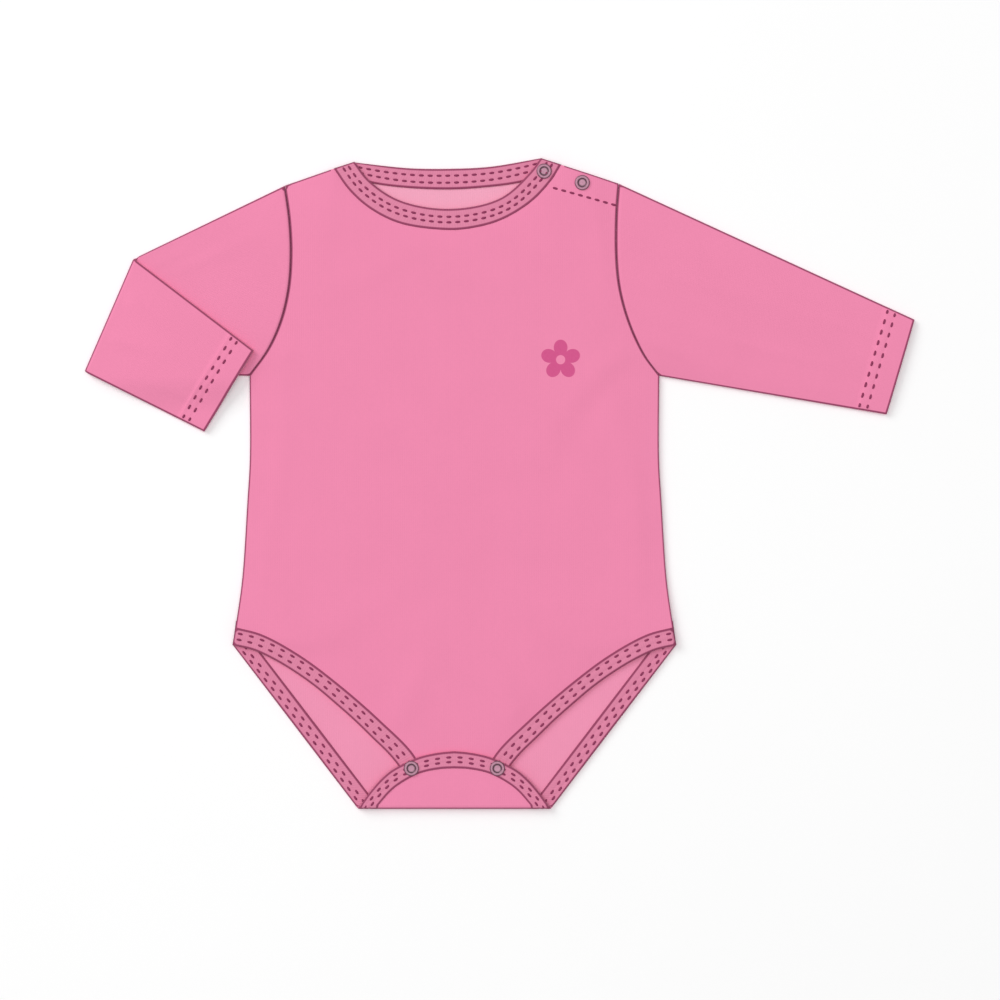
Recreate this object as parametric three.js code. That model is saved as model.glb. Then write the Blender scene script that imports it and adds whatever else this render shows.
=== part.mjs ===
// A long-sleeved baby bodysuit laid flat, front up, one sleeve folded forward at the elbow.
// Millimetres, +Z up, neck towards +Y, the floor at z = 0. Flat sizes are measured from the
// body's centre line, which lies BODY_X to the side of the middle of the whole outline.

import * as THREE from "three";

const CLOTH = 1.0;
const SEAM = 0.3;
const BAND = 2.0;
const BAND_PROUD = (BAND - CLOTH) / 2;
const BODY_X = -27.3;

const UNDERLAP_WIDTH = 12;
const HEM_WIDTH = 18;
const HEM_EXTRA = 0.3;
const HEM_STEP = 1;

// Heights of the undersides of the front's edges, and of its middle. Its leg bands cross over
// the back's band at the side seams, and come down within BAND_LANDED of them. Its side edges
// come down within SIDE_LANDED of the leg's corner.
const SIDE_HEIGHT = CLOTH + SEAM;
const LEG_BAND_HEIGHT = CLOTH + SEAM;
const CROSSING_HEIGHT = BAND + SEAM;
const NECK_HEIGHT = CROSSING_HEIGHT + BAND_PROUD;
const FRONT_HEIGHT = 2.8;
const BAND_CROSSED = 18;
const BAND_LANDED = 45;
const SIDE_LANDED = 40;

const FOLD_Y = -195;
const FOLD_RADIUS = (LEG_BAND_HEIGHT + BAND + SEAM + BAND) / 2;
const FOLD_START = FOLD_Y + FOLD_RADIUS;
const FOLD_LENGTH = 5.65;

const SNAP_DIAMETER = 9;
const SNAP_EYE = 4.2;
const SNAP_HEIGHT = 1;
const SNAP_EYE_HEIGHT = 0.35;
const SNAP_SHOULDER = 0.6;
const SNAP_CLEARANCE = 0.05;

const PINK = new THREE.Color("#f08aaf");
const RIB_PINK = new THREE.Color("#ee86ac");
const SNAP_MAUVE = new THREE.Color("#9b6e82");

// Half of the side seam, from the armhole down to the leg opening.
const SIDE_SEAM = [
  { half: 122.7, y: 64.5 },
  { half: 122.6, y: 14 },
  { half: 124, y: -10 },
  { half: 127.2, y: -58 },
  { half: 131.1, y: -86.7 },
];

// The front's leg edge, where its binding starts, from the side seam to the crotch end.
const FRONT_LEG = [
  { half: 131.1, y: -86.7 },
  { half: 115.5, y: -90.9 },
  { half: 92.7, y: -103.5 },
  { half: 68.7, y: -121.5 },
  { half: 44.7, y: -142.5 },
  { half: 24.3, y: -163.5 },
  { half: 16.5, y: -181.5 },
];

const FRONT_LEG_FREE = [
  { half: 132.9, y: -96.9 },
  { half: 119.9, y: -100 },
  { half: 107.5, y: -105.9 },
  { half: 95.1, y: -113.5 },
  { half: 83.1, y: -122.1 },
  { half: 71.6, y: -131.8 },
  { half: 60.4, y: -141.7 },
  { half: 49.6, y: -152.2 },
  { half: 39, y: -162.6 },
  { half: 31.8, y: -172.1 },
  { half: 26.6, y: -185.6 },
];

// The back's free leg edge is straight as far as the crotch fold.
const BACK_LEG_CORNER = { half: 132.9, y: -96.9 };
const BACK_FOLD_CORNER = { half: 57.9, y: FOLD_Y };
const BACK_SEAM_END = { half: 131, y: -82.9 };

// The crotch flap, folded up over the front: its free edge and the edge where its binding
// starts, from the fold to its middle.
const FLAP_SEWN_EDGE = [
  { half: 46, y: -192.2 },
  { half: 38.7, y: -183.9 },
  { half: 32.7, y: -179.1 },
  { half: 20.7, y: -172.8 },
  { half: 8.7, y: -170.2 },
  { half: 0, y: -169.7 },
];

const FLAP_EDGE = [
  { half: 55.8, y: -192.2 },
  { half: 51.3, y: -185.7 },
  { half: 44.7, y: -177.9 },
  { half: 38.7, y: -172.5 },
  { half: 32.7, y: -168.9 },
  { half: 20.7, y: -163.6 },
  { half: 8.7, y: -161 },
  { half: 0, y: -160.2 },
];

const LEFT_ARMHOLE = [
  { x: -122.7, y: 64.5 },
  { x: -111.3, y: 80.1 },
  { x: -103.7, y: 96.9 },
  { x: -99.1, y: 116.1 },
  { x: -97.6, y: 137.1 },
  { x: -98.6, y: 158.1 },
  { x: -101.5, y: 178.5 },
];

const RIGHT_ARMHOLE = [
  { x: 122.7, y: 64.5 },
  { x: 113.3, y: 77.1 },
  { x: 104.4, y: 96.3 },
  { x: 98.9, y: 116.1 },
  { x: 96.9, y: 134.1 },
  { x: 96.9, y: 161.1 },
  { x: 98.3, y: 179.7 },
];

// The front's neck edge, where its binding starts, from the left shoulder to the right one.
const FRONT_NECK = [
  { x: -71.7, y: 188.7 },
  { x: -62.7, y: 176.1 },
  { x: -50.7, y: 165.3 },
  { x: -32.7, y: 156.3 },
  { x: -5.7, y: 152.4 },
  { x: 9.3, y: 153.3 },
  { x: 27.3, y: 158.1 },
  { x: 45.3, y: 168.9 },
  { x: 57.3, y: 181.5 },
  { x: 63.3, y: 191.1 },
];

const FRONT_NECK_FREE = [
  { x: -59.7, y: 192.6 },
  { x: -50.7, y: 181.2 },
  { x: -32.7, y: 169.5 },
  { x: -2.7, y: 164.4 },
  { x: 27.3, y: 170.7 },
  { x: 45.3, y: 186.3 },
  { x: 51.6, y: 194.8 },
];

const BACK_NECK = [
  { x: -71.7, y: 188.7 },
  { x: -62.7, y: 184.5 },
  { x: -49.5, y: 180.6 },
  { x: -32.7, y: 178.2 },
  { x: -5.7, y: 176.9 },
  { x: 15.3, y: 177.9 },
  { x: 38.7, y: 180.9 },
  { x: 54.3, y: 185.7 },
  { x: 63.3, y: 191.1 },
];

const BACK_NECK_FREE = [
  { x: -60.3, y: 192.6 },
  { x: -50.7, y: 191.4 },
  { x: -26.7, y: 189 },
  { x: -2.7, y: 188.7 },
  { x: 21.3, y: 189.9 },
  { x: 51.9, y: 195 },
];

const RIGHT_CUFF = { top: { x: 275.7, y: 98.3 }, bottom: { x: 258.9, y: 41.3 } };
const ELBOW_FOLD = { top: { x: -192.3, y: 134.7 }, bottom: { x: -221.7, y: 66.9 } };
const LEFT_CUFF = { top: { x: -120, y: 79.6 }, bottom: { x: -150, y: 31 } };

const COLUMNS = 22;
const SHOULDER_COLUMNS = 3;
const LEG_ROWS = 10;
const WRAP_ROWS = 6;
const FLAP_ROWS = 5;
const FRONT_LEG_ROWS = 12;
const SIDE_ROWS = 7;
const ARMHOLE_ROWS = 9;
const NECK_STEPS = 24;
const SLEEVE_STEPS = 8;
const SLEEVE_POINTS = 9;

const { lerp, smoothstep } = THREE.MathUtils;

function curveThrough(rows) {
  const points = rows.map((row) => new THREE.Vector3(row.x ?? row.half, row.y, 0));
  return new THREE.CatmullRomCurve3(points, false, "centripetal");
}

// A point on a line between two points of the flat pattern.
function between(from, to, share) {
  return new THREE.Vector3(lerp(from.x, to.x, share), lerp(from.y, to.y, share), 0);
}

function evenly(steps, make) {
  return Array.from({ length: steps + 1 }, (_, step) => make(step / steps));
}

function mirrored(points) {
  return points.map((point) => new THREE.Vector3(-point.x, point.y, 0));
}

// The points moved sideways, to the left of their direction of travel.
function shifted(points, distanceAt) {
  return points.map((point, index) => {
    const before = points[Math.max(index - 1, 0)];
    const after = points[Math.min(index + 1, points.length - 1)];
    const along = after.clone().sub(before).normalize();
    const distance = distanceAt(index);
    return new THREE.Vector3(point.x - along.y * distance, point.y + along.x * distance, 0);
  });
}

// How full a flattened shape is from one edge, at 0, to the other, at 1.
function fullness(share) {
  return 1 - Math.abs(2 * share - 1) ** 4;
}

// Columns stand closer together near the two sides, where the cloth rolls over.
function columnShare(column) {
  const even = column / COLUMNS;
  return lerp(even, (1 - Math.cos(Math.PI * even)) / 2, 0.7);
}

// A closed mesh with its faces turned outwards, whichever way round they were listed.
function closedMesh(name, color, points, triangles) {
  const volume = triangles.reduce((sum, [a, b, c]) => {
    const normal = points[b].clone().cross(points[c]);
    return sum + points[a].dot(normal);
  }, 0);
  const outward = volume > 0 ? triangles : triangles.map(([a, b, c]) => [a, c, b]);
  const geometry = new THREE.BufferGeometry();
  const coordinates = points.flatMap((point) => point.toArray());
  geometry.setAttribute("position", new THREE.Float32BufferAttribute(coordinates, 3));
  geometry.setIndex(outward.flat());
  geometry.computeVertexNormals();
  const material = new THREE.MeshStandardMaterial({ color, roughness: 0.9, metalness: 0 });
  const mesh = new THREE.Mesh(geometry, material);
  mesh.name = name;
  return mesh;
}

function quad(a, b, c, d) {
  return [[a, b, c], [a, c, d]];
}

// A sheet of cloth: two grids of points with the same rows and columns, closed round the rim.
function sheet(name, color, upper, lower) {
  const rows = upper.length;
  const columns = upper[0].length;
  const size = rows * columns;
  const at = (row, column) => row * columns + column;
  const triangles = [];
  for (let row = 0; row + 1 < rows; row += 1) {
    for (let column = 0; column + 1 < columns; column += 1) {
      const corners = [
        at(row, column),
        at(row, column + 1),
        at(row + 1, column + 1),
        at(row + 1, column),
      ];
      triangles.push(...quad(...corners));
      triangles.push(...quad(...corners.map((corner) => corner + size).reverse()));
    }
  }
  const rim = [];
  for (let column = 0; column + 1 < columns; column += 1) rim.push(at(0, column));
  for (let row = 0; row + 1 < rows; row += 1) rim.push(at(row, columns - 1));
  for (let column = columns - 1; column > 0; column -= 1) rim.push(at(rows - 1, column));
  for (let row = rows - 1; row > 0; row -= 1) rim.push(at(row, 0));
  rim.forEach((corner, index) => {
    const next = rim[(index + 1) % rim.length];
    triangles.push(...quad(corner, corner + size, next + size, next));
  });
  return closedMesh(name, color, [...upper.flat(), ...lower.flat()], triangles);
}

// The faces between each closed loop of points and the next one.
function skin(loops, first) {
  const size = loops[0].length;
  const triangles = [];
  for (let loop = 0; loop + 1 < loops.length; loop += 1) {
    for (let point = 0; point < size; point += 1) {
      const next = (point + 1) % size;
      const here = first + loop * size;
      triangles.push(...quad(here + point, here + next, here + size + next, here + size + point));
    }
  }
  return triangles;
}

// A folded strip of cloth with rounded edges, between an inner and an outer edge.
const STRIP_SECTION = [
  { across: 0.08, height: 0 },
  { across: 0.92, height: 0 },
  { across: 1, height: 0.28 },
  { across: 1, height: 0.72 },
  { across: 0.92, height: 1 },
  { across: 0.08, height: 1 },
  { across: 0, height: 0.72 },
  { across: 0, height: 0.28 },
];

function flatOnFloor(x, y, height) {
  return new THREE.Vector3(x, y, height);
}

function strip(name, color, inner, outer, undersideAt, thickness = BAND, place = flatOnFloor) {
  const loops = inner.map((innerPoint, step) =>
    STRIP_SECTION.map(({ across, height }) => {
      const point = between(innerPoint, outer[step], across);
      return place(point.x, point.y, undersideAt(step) + height * thickness);
    }),
  );
  const size = STRIP_SECTION.length;
  const last = (loops.length - 1) * size;
  const triangles = skin(loops, 0);
  for (let point = 1; point + 1 < size; point += 1) {
    triangles.push([0, point + 1, point]);
    triangles.push([last, last + point, last + point + 1]);
  }
  return closedMesh(name, color, loops.flat(), triangles);
}

// The crotch extension: past FOLD_START the flat pattern turns up round a half circle and
// comes back over the front, where its outside faces up.
function foldOver(x, y, height) {
  const past = FOLD_START - y;
  const radius = FOLD_RADIUS - height;
  if (past <= 0) return new THREE.Vector3(x, y, height);
  if (past >= FOLD_LENGTH) {
    return new THREE.Vector3(x, FOLD_START + past - FOLD_LENGTH, FOLD_RADIUS + radius);
  }
  const turn = (Math.PI * past) / FOLD_LENGTH;
  return new THREE.Vector3(
    x,
    FOLD_START - radius * Math.sin(turn),
    FOLD_RADIUS - radius * Math.cos(turn),
  );
}

// Where a point seen on the folded-up flap lies on the flat pattern.
function unfolded(y) {
  return 2 * FOLD_START - FOLD_LENGTH - y;
}

// A grid of points from its four edges: left and right run up, bottom and top run across.
// The bottom edge's own shape fades out over the first rows, the top's over the last ones.
function patch(left, right, bottom, top, bottomWeight, topWeight) {
  return left.map((leftPoint, row) =>
    Array.from({ length: COLUMNS + 1 }, (_, column) => {
      const share = columnShare(column);
      const point = between(leftPoint, right[row], share);
      const bottomShape = bottom[column].clone();
      bottomShape.sub(between(bottom[0], bottom[COLUMNS], share));
      const topShape = top[column].clone();
      topShape.sub(between(top[0], top[COLUMNS], share));
      point.addScaledVector(bottomShape, bottomWeight(row));
      return point.addScaledVector(topShape, topWeight(row));
    }),
  );
}

// The top edge of a panel: a shoulder, the neck edge and the other shoulder.
function panelTop(leftTip, rightTip, neck) {
  const neckColumns = COLUMNS - 2 * SHOULDER_COLUMNS;
  const neckPoints = shifted(curveThrough(neck).getSpacedPoints(neckColumns), () => -SEAM);
  const leftShoulder = evenly(SHOULDER_COLUMNS, (share) => between(leftTip, neckPoints[0], share));
  const neckEnd = neckPoints[neckColumns];
  const rightShoulder = evenly(SHOULDER_COLUMNS, (share) => between(neckEnd, rightTip, share));
  return [...leftShoulder, ...neckPoints.slice(1), ...rightShoulder.slice(1)];
}

const leftArmhole = curveThrough(LEFT_ARMHOLE).getSpacedPoints(ARMHOLE_ROWS);
const rightArmhole = curveThrough(RIGHT_ARMHOLE).getSpacedPoints(ARMHOLE_ROWS);

function armholeWeight(firstRow) {
  return (row) => (Math.max(row - firstRow, 0) / ARMHOLE_ROWS) ** 1.6;
}

// Back panel, with the crotch extension and its flap in one piece. Both edges of its binding
// run from the right side seam round the crotch extension to the left one, on the flat pattern.
const FLAP_STEPS = 2 * FLAP_ROWS;

function backEdge(start, foldHalf, flapRows) {
  const sideEnd = { x: start.half, y: start.y };
  const foldStart = { x: foldHalf, y: FOLD_START };
  const flatRows = flapRows.map(({ half, y }) => ({ half, y: unfolded(y) }));
  const leg = evenly(LEG_ROWS, (share) => between(sideEnd, foldStart, share));
  const flap = curveThrough(flatRows).getSpacedPoints(FLAP_STEPS);
  const wrap = evenly(WRAP_ROWS, (share) => between(foldStart, flap[0], share));
  const rightHalf = [...leg, ...wrap.slice(1), ...flap.slice(1)];
  return [...rightHalf, ...mirrored(rightHalf).reverse().slice(1)];
}

const legSlope = (BACK_LEG_CORNER.half - BACK_FOLD_CORNER.half) / (BACK_LEG_CORNER.y - FOLD_Y);
const backFoldHalf = BACK_FOLD_CORNER.half + legSlope * FOLD_RADIUS;
const sewnFoldHalf = BACK_SEAM_END.half - legSlope * (BACK_SEAM_END.y - FOLD_START);
const backFree = backEdge(BACK_LEG_CORNER, backFoldHalf, FLAP_EDGE);
const backSewn = backEdge(BACK_SEAM_END, sewnFoldHalf, FLAP_SEWN_EDGE);

function backPanel() {
  const edge = shifted(backSewn, () => -SEAM);
  const cornerStep = LEG_ROWS + WRAP_ROWS + FLAP_ROWS;
  const legSide = edge.slice(0, cornerStep + 1).reverse();
  const seamPoints = curveThrough(SIDE_SEAM).getSpacedPoints(8 * SIDE_ROWS).reverse();
  const seam = seamPoints.filter((point) => point.y > edge[0].y + 1);
  const seamCurve = new THREE.CatmullRomCurve3([edge[0], ...seam], false, "centripetal");
  const rightSide = [...legSide, ...seamCurve.getSpacedPoints(SIDE_ROWS).slice(1)];
  const right = [...rightSide, ...rightArmhole.slice(1)];
  const left = [...mirrored(rightSide), ...leftArmhole.slice(1)];
  const arch = edge.slice(cornerStep, edge.length - cornerStep);
  const archCurve = new THREE.CatmullRomCurve3(arch.reverse(), false, "centripetal");
  const bottom = Array.from({ length: COLUMNS + 1 }, (_, column) =>
    archCurve.getPointAt(columnShare(column)),
  );
  left[0].copy(bottom[0]);
  right[0].copy(bottom[COLUMNS]);
  const top = panelTop(left.at(-1), right.at(-1), BACK_NECK);
  const bottomWeight = (row) => Math.max(1 - row / FLAP_ROWS, 0);
  const topWeight = armholeWeight(rightSide.length - 1);
  const flat = patch(left, right, bottom, top, bottomWeight, topWeight);
  const layer = (height) =>
    flat.map((row) =>
      row.map((point) => {
        const rise = BAND_PROUD * smoothstep(FOLD_START - point.y, 0, FOLD_LENGTH);
        return foldOver(point.x, point.y, height + rise);
      }),
    );
  return sheet("back_panel", PINK, layer(CLOTH), layer(0));
}

function backBinding() {
  return strip("back_leg_binding", RIB_PINK, backSewn, backFree, () => 0, BAND, foldOver);
}

// Front panel and the bindings of its leg edges.
const frontLegSewn = curveThrough(FRONT_LEG).getSpacedPoints(FRONT_LEG_ROWS);
const frontLegFree = curveThrough(FRONT_LEG_FREE).getSpacedPoints(FRONT_LEG_ROWS);

function frontLegBandHeight(step) {
  const fromSide = (step / FRONT_LEG_ROWS) * curveThrough(FRONT_LEG).getLength();
  return lerp(CROSSING_HEIGHT, LEG_BAND_HEIGHT, smoothstep(fromSide, BAND_CROSSED, BAND_LANDED));
}

function frontLegBindings() {
  const make = (name, sewnEdge, freeEdge) =>
    strip(name, RIB_PINK, sewnEdge, freeEdge, frontLegBandHeight);
  return [
    make("front_leg_binding_right", frontLegSewn, frontLegFree),
    make("front_leg_binding_left", mirrored(frontLegSewn), mirrored(frontLegFree)),
  ];
}

function frontGrid() {
  const legRows = shifted(frontLegSewn, () => -SEAM).reverse();
  const side = curveThrough(SIDE_SEAM).getSpacedPoints(SIDE_ROWS).reverse();
  const rightSide = [...legRows.slice(0, -1), ...side];
  const right = [...rightSide, ...rightArmhole.slice(1)];
  const left = [...mirrored(rightSide), ...leftArmhole.slice(1)];
  const bottom = Array.from({ length: COLUMNS + 1 }, (_, column) =>
    between(left[0], right[0], columnShare(column)),
  );
  const top = panelTop(left.at(-1), right.at(-1), FRONT_NECK);
  const armholeStart = rightSide.length - 1;
  const flat = patch(left, right, bottom, top, () => 0, armholeWeight(armholeStart));

  // Undersides of the two side edges, which are alike, and of the top edge.
  const sideHeights = left.map((point, row) => {
    if (row < FRONT_LEG_ROWS) {
      return frontLegBandHeight(FRONT_LEG_ROWS - row) + BAND_PROUD;
    }
    if (row <= armholeStart) {
      const aboveCorner = point.y - left[FRONT_LEG_ROWS].y;
      return lerp(NECK_HEIGHT, SIDE_HEIGHT, smoothstep(aboveCorner, 0, SIDE_LANDED));
    }
    const lift = FRONT_HEIGHT - SIDE_HEIGHT;
    return SIDE_HEIGHT + lift * fullness((row - armholeStart) / ARMHOLE_ROWS);
  });
  const topHeights = top.map((point, column) => {
    const toTip = Math.min(column, COLUMNS - column) / SHOULDER_COLUMNS;
    const neckSide = column < COLUMNS / 2 ? toTip : Math.min(2 * toTip, 1);
    return lerp(SIDE_HEIGHT, NECK_HEIGHT, smoothstep(neckSide, 0, 1));
  });
  const topWeight = armholeWeight(armholeStart);
  return flat.map((row, rowIndex) =>
    row.map((point, column) => {
      const middle = fullness(columnShare(column)) * fullness(rowIndex / (flat.length - 1));
      const edge = sideHeights[rowIndex] + topWeight(rowIndex) * (topHeights[column] - SIDE_HEIGHT);
      return new THREE.Vector3(point.x, point.y, lerp(edge, FRONT_HEIGHT, middle));
    }),
  );
}

function raised(grid, height) {
  return grid.map((row) => row.map(({ x, y, z }) => new THREE.Vector3(x, y, z + height)));
}

const frontUnderside = frontGrid();

function frontPanel() {
  return sheet("front_panel", PINK, raised(frontUnderside, CLOTH), frontUnderside);
}

// Neck binding, in the two stretches that meet at the shoulders.
function neckBindings() {
  const edges = (sewn, free) => [
    curveThrough(sewn).getSpacedPoints(NECK_STEPS),
    curveThrough(free).getSpacedPoints(NECK_STEPS),
  ];
  const front = edges(FRONT_NECK, FRONT_NECK_FREE);
  const back = edges(BACK_NECK, BACK_NECK_FREE);
  return [
    strip("neck_binding_front", RIB_PINK, ...front, () => CROSSING_HEIGHT),
    strip("neck_binding_back", RIB_PINK, ...back, () => 0),
  ];
}

// Strip along the right shoulder of the back, under the front's edge, where the snap closes.
// It runs between two shares of the shoulder's length.
const UNDERLAP_REACH = [0.07, 0.68];

function shoulderUnderlap() {
  const neckEnd = FRONT_NECK.at(-1);
  const tip = RIGHT_ARMHOLE.at(-1);
  const edge = evenly(6, (share) => between(neckEnd, tip, lerp(...UNDERLAP_REACH, share)));
  const outer = shifted(edge, () => -SEAM);
  const inner = shifted(edge, () => -UNDERLAP_WIDTH);
  return strip("shoulder_underlap", RIB_PINK, inner, outer, () => SIDE_HEIGHT, CLOTH);
}

// Round a flattened tube of cloth: across runs from one folded edge to the other. The roof
// and the floor may each bulge outwards in the middle.
function tubeSection(width, cloth, roofBulge, floorBulge) {
  const radius = cloth + SEAM / 2;
  const across = evenly(SLEEVE_POINTS, (share) => lerp(radius, width - radius, share));
  const loop = (inset) => {
    const turn = radius - inset;
    const corner = (centre, angles) =>
      angles.map((angle) => ({
        across: centre + turn * Math.cos(angle),
        height: radius + turn * Math.sin(angle),
      }));
    const full = (place) => fullness((place - radius) / (width - 2 * radius));
    const floor = across.map((place) => ({
      across: place,
      height: inset - floorBulge * full(place),
    }));
    const roof = across.map((place) => ({
      across: place,
      height: 2 * radius - inset + roofBulge * full(place),
    }));
    const farEdge = corner(width - radius, [-Math.PI / 4, 0, Math.PI / 4]);
    const nearEdge = corner(radius, [(3 * Math.PI) / 4, Math.PI, (5 * Math.PI) / 4]);
    return [...floor, ...farEdge, ...roof.reverse(), ...nearEdge];
  };
  return { outer: loop(0), inner: loop(cloth) };
}

// A tube of cloth, open at both ends, through a list of its stations. Each station gives its
// width, cloth, bulges and a way to place a point from its share of the width and its height.
function clothTube(name, stations) {
  const sections = stations.map(({ width, cloth, roofBulge = 0, floorBulge = 0, place }) => {
    const { outer, inner } = tubeSection(width, cloth, roofBulge, floorBulge);
    const placed = (loop) => loop.map(({ across, height }) => place(across / width, height));
    return { outer: placed(outer), inner: placed(inner) };
  });
  const outer = sections.map((section) => section.outer);
  const inner = sections.map((section) => section.inner);
  const size = outer[0].length;
  const innerFirst = outer.length * size;
  const triangles = [
    ...skin(outer, 0),
    ...skin(inner, innerFirst).map(([a, b, c]) => [a, c, b]),
  ];
  const last = (outer.length - 1) * size;
  for (let point = 0; point < size; point += 1) {
    const next = (point + 1) % size;
    triangles.push(...quad(point, innerFirst + point, innerFirst + next, next));
    const end = [last + point, last + next, innerFirst + last + next, innerFirst + last + point];
    triangles.push(...quad(...end));
  }
  return closedMesh(name, PINK, [...outer.flat(), ...inner.flat()], triangles);
}

// The armhole as the sleeve sees it, from the shoulder at 0 to the underarm at 1.
function sleeveHead(armhole, side) {
  const moved = armhole.map(({ x, y }) => new THREE.Vector3(x + side * SEAM, y, 0)).reverse();
  const curve = new THREE.CatmullRomCurve3(moved, false, "centripetal");
  return (share) => curve.getPointAt(Math.min(Math.max(share, 0), 1));
}

// A sleeve's stations: even ones up to its hem, one past the step there, and the cuff. The hem
// is as wide all along the cuff, so each line along the sleeve has its own share at a station.
const SLEEVE_STATIONS = [
  ...evenly(SLEEVE_STEPS, (way) => ({ cloth: CLOTH, way, left: HEM_WIDTH })),
  { cloth: CLOTH + HEM_EXTRA, way: 1, left: HEM_WIDTH - HEM_STEP },
  { cloth: CLOTH + HEM_EXTRA, way: 1, left: 0 },
];

function alongSleeve(from, to, { way, left }) {
  return way * (1 - left / from.distanceTo(to));
}

const SLEEVE_LIFT = FRONT_HEIGHT - SIDE_HEIGHT;

function straightSleeve() {
  const head = sleeveHead(rightArmhole, 1);
  const cuff = (share) => between(RIGHT_CUFF.top, RIGHT_CUFF.bottom, share);
  const stations = SLEEVE_STATIONS.map((station) => {
    const place = (share, height) => {
      const along = alongSleeve(head(share), cuff(share), station);
      return between(head(share), cuff(share), along).setZ(height);
    };
    const along = alongSleeve(head(0.5), cuff(0.5), station);
    return {
      width: place(0, 0).distanceTo(place(1, 0)),
      cloth: station.cloth,
      roofBulge: SLEEVE_LIFT * lerp(1, 0.6, along),
      place,
    };
  });
  return clothTube("right_sleeve", stations);
}

// The left sleeve lies flat to the elbow, turns over there and comes back across itself.
const ELBOW_RADIUS = 2 * CLOTH + SEAM + SEAM / 2;
const ELBOW_STEPS = 6;
const FOREARM_BULGE = 1;
const FOREARM_RISE = 1.4;
const FOREARM_DROP = 22;

function foldedSleeve() {
  const head = sleeveHead(leftArmhole, -1);
  const cuff = (share) => between(LEFT_CUFF.top, LEFT_CUFF.bottom, share);
  const fold = (share) => between(ELBOW_FOLD.top, ELBOW_FOLD.bottom, share);
  const foldLine = fold(0).sub(fold(1));
  const inwards = new THREE.Vector3(foldLine.y, -foldLine.x, 0).normalize();

  // Where the sleeve starts and stops turning over: ELBOW_RADIUS inwards of the fold, with both
  // ends on the straight edges that run from the fold's corners to the shoulder or the cuff.
  const turnLine = (far) => {
    const [top, bottom] = [0, 1].map((share) => {
      const edge = far(share).sub(fold(share));
      return fold(share).addScaledVector(edge, ELBOW_RADIUS / edge.dot(inwards));
    });
    return (share) => between(top, bottom, share);
  };
  const armTurn = turnLine(head);
  const foreTurn = turnLine(cuff);
  const underarmY = LEFT_ARMHOLE[0].y;

  const upperArm = evenly(SLEEVE_STEPS, (along) => ({
    width: between(head(0), armTurn(0), along).distanceTo(between(head(1), armTurn(1), along)),
    cloth: CLOTH,
    roofBulge: SLEEVE_LIFT * (1 - along) ** 1.5,
    place: (share, height) => between(head(share), armTurn(share), along).setZ(height),
  }));
  const elbow = evenly(ELBOW_STEPS, (along) => {
    const place = (share, height) => {
      const radius = ELBOW_RADIUS - height;
      const turned = between(armTurn(share), foreTurn(share), along);
      const depth = 1 - (radius * Math.sin(Math.PI * along)) / ELBOW_RADIUS;
      const point = between(fold(share), turned, depth);
      return point.setZ(ELBOW_RADIUS - radius * Math.cos(Math.PI * along));
    };
    return { width: place(0, 0).distanceTo(place(1, 0)), cloth: CLOTH, place };
  }).slice(1);
  const forearm = SLEEVE_STATIONS.slice(1).map((station) => {
    const along = alongSleeve(foreTurn(0.5), cuff(0.5), station);
    const thickness = 2 * station.cloth + SEAM;
    const rise = FOREARM_RISE * Math.sin((along * Math.PI) / 2);
    const onArm = ELBOW_RADIUS + SEAM / 2 + rise;
    const flat = (share) => {
      const ends = [foreTurn(share), cuff(share)];
      return between(...ends, alongSleeve(...ends, station));
    };
    return {
      width: flat(0).distanceTo(flat(1)),
      cloth: station.cloth,
      floorBulge: FOREARM_BULGE * smoothstep(along, 0, 0.4),
      place: (share, height) => {
        const point = flat(share);
        const held = smoothstep(point.y, underarmY - FOREARM_DROP, underarmY - 1);
        const underside = lerp(0, onArm, Math.max(held, 1 - 4 * along));
        return point.setZ(underside + thickness - height);
      },
    };
  });
  return clothTube("left_sleeve", [...upperArm, ...elbow, ...forearm]);
}

const SNAPS = [
  { name: "crotch_snap_left", x: -25.7, y: -170.4, on: "flap" },
  { name: "crotch_snap_right", x: 25.7, y: -170.4, on: "flap" },
  { name: "shoulder_snap_neck", x: 53.7, y: 186.9, on: "neck" },
  { name: "shoulder_snap_sleeve", x: 76.5, y: 180, on: "front" },
];

// A ring snap: a raised ring round a sunken eye.
function ringSnap(name, x, y, seat) {
  const outer = SNAP_DIAMETER / 2;
  const eye = SNAP_EYE / 2;
  const profile = [
    new THREE.Vector2(0, 0),
    new THREE.Vector2(outer, 0),
    new THREE.Vector2(outer, SNAP_HEIGHT - SNAP_SHOULDER),
    new THREE.Vector2(outer - SNAP_SHOULDER, SNAP_HEIGHT),
    new THREE.Vector2(eye + SNAP_SHOULDER, SNAP_HEIGHT),
    new THREE.Vector2(eye, SNAP_EYE_HEIGHT),
    new THREE.Vector2(0, SNAP_EYE_HEIGHT),
  ];
  const geometry = new THREE.LatheGeometry(profile, 20);
  geometry.rotateX(Math.PI / 2);
  const material = new THREE.MeshStandardMaterial({
    color: SNAP_MAUVE,
    roughness: 0.35,
    metalness: 0.6,
  });
  const mesh = new THREE.Mesh(geometry, material);
  mesh.name = name;
  mesh.position.set(x, y, seat);
  return mesh;
}

// The highest point of the front under a snap.
function frontTopNear(x, y) {
  const reach = SNAP_DIAMETER;
  const near = frontUnderside
    .flat()
    .filter((point) => Math.hypot(point.x - x, point.y - y) < reach);
  return Math.max(...near.map((point) => point.z)) + CLOTH;
}

function snaps() {
  return SNAPS.map(({ name, x, y, on }) => {
    const seats = {
      flap: 2 * FOLD_RADIUS,
      neck: CROSSING_HEIGHT + BAND,
      front: frontTopNear(x, y),
    };
    return ringSnap(name, x, y, seats[on] + SNAP_CLEARANCE);
  });
}

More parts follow.
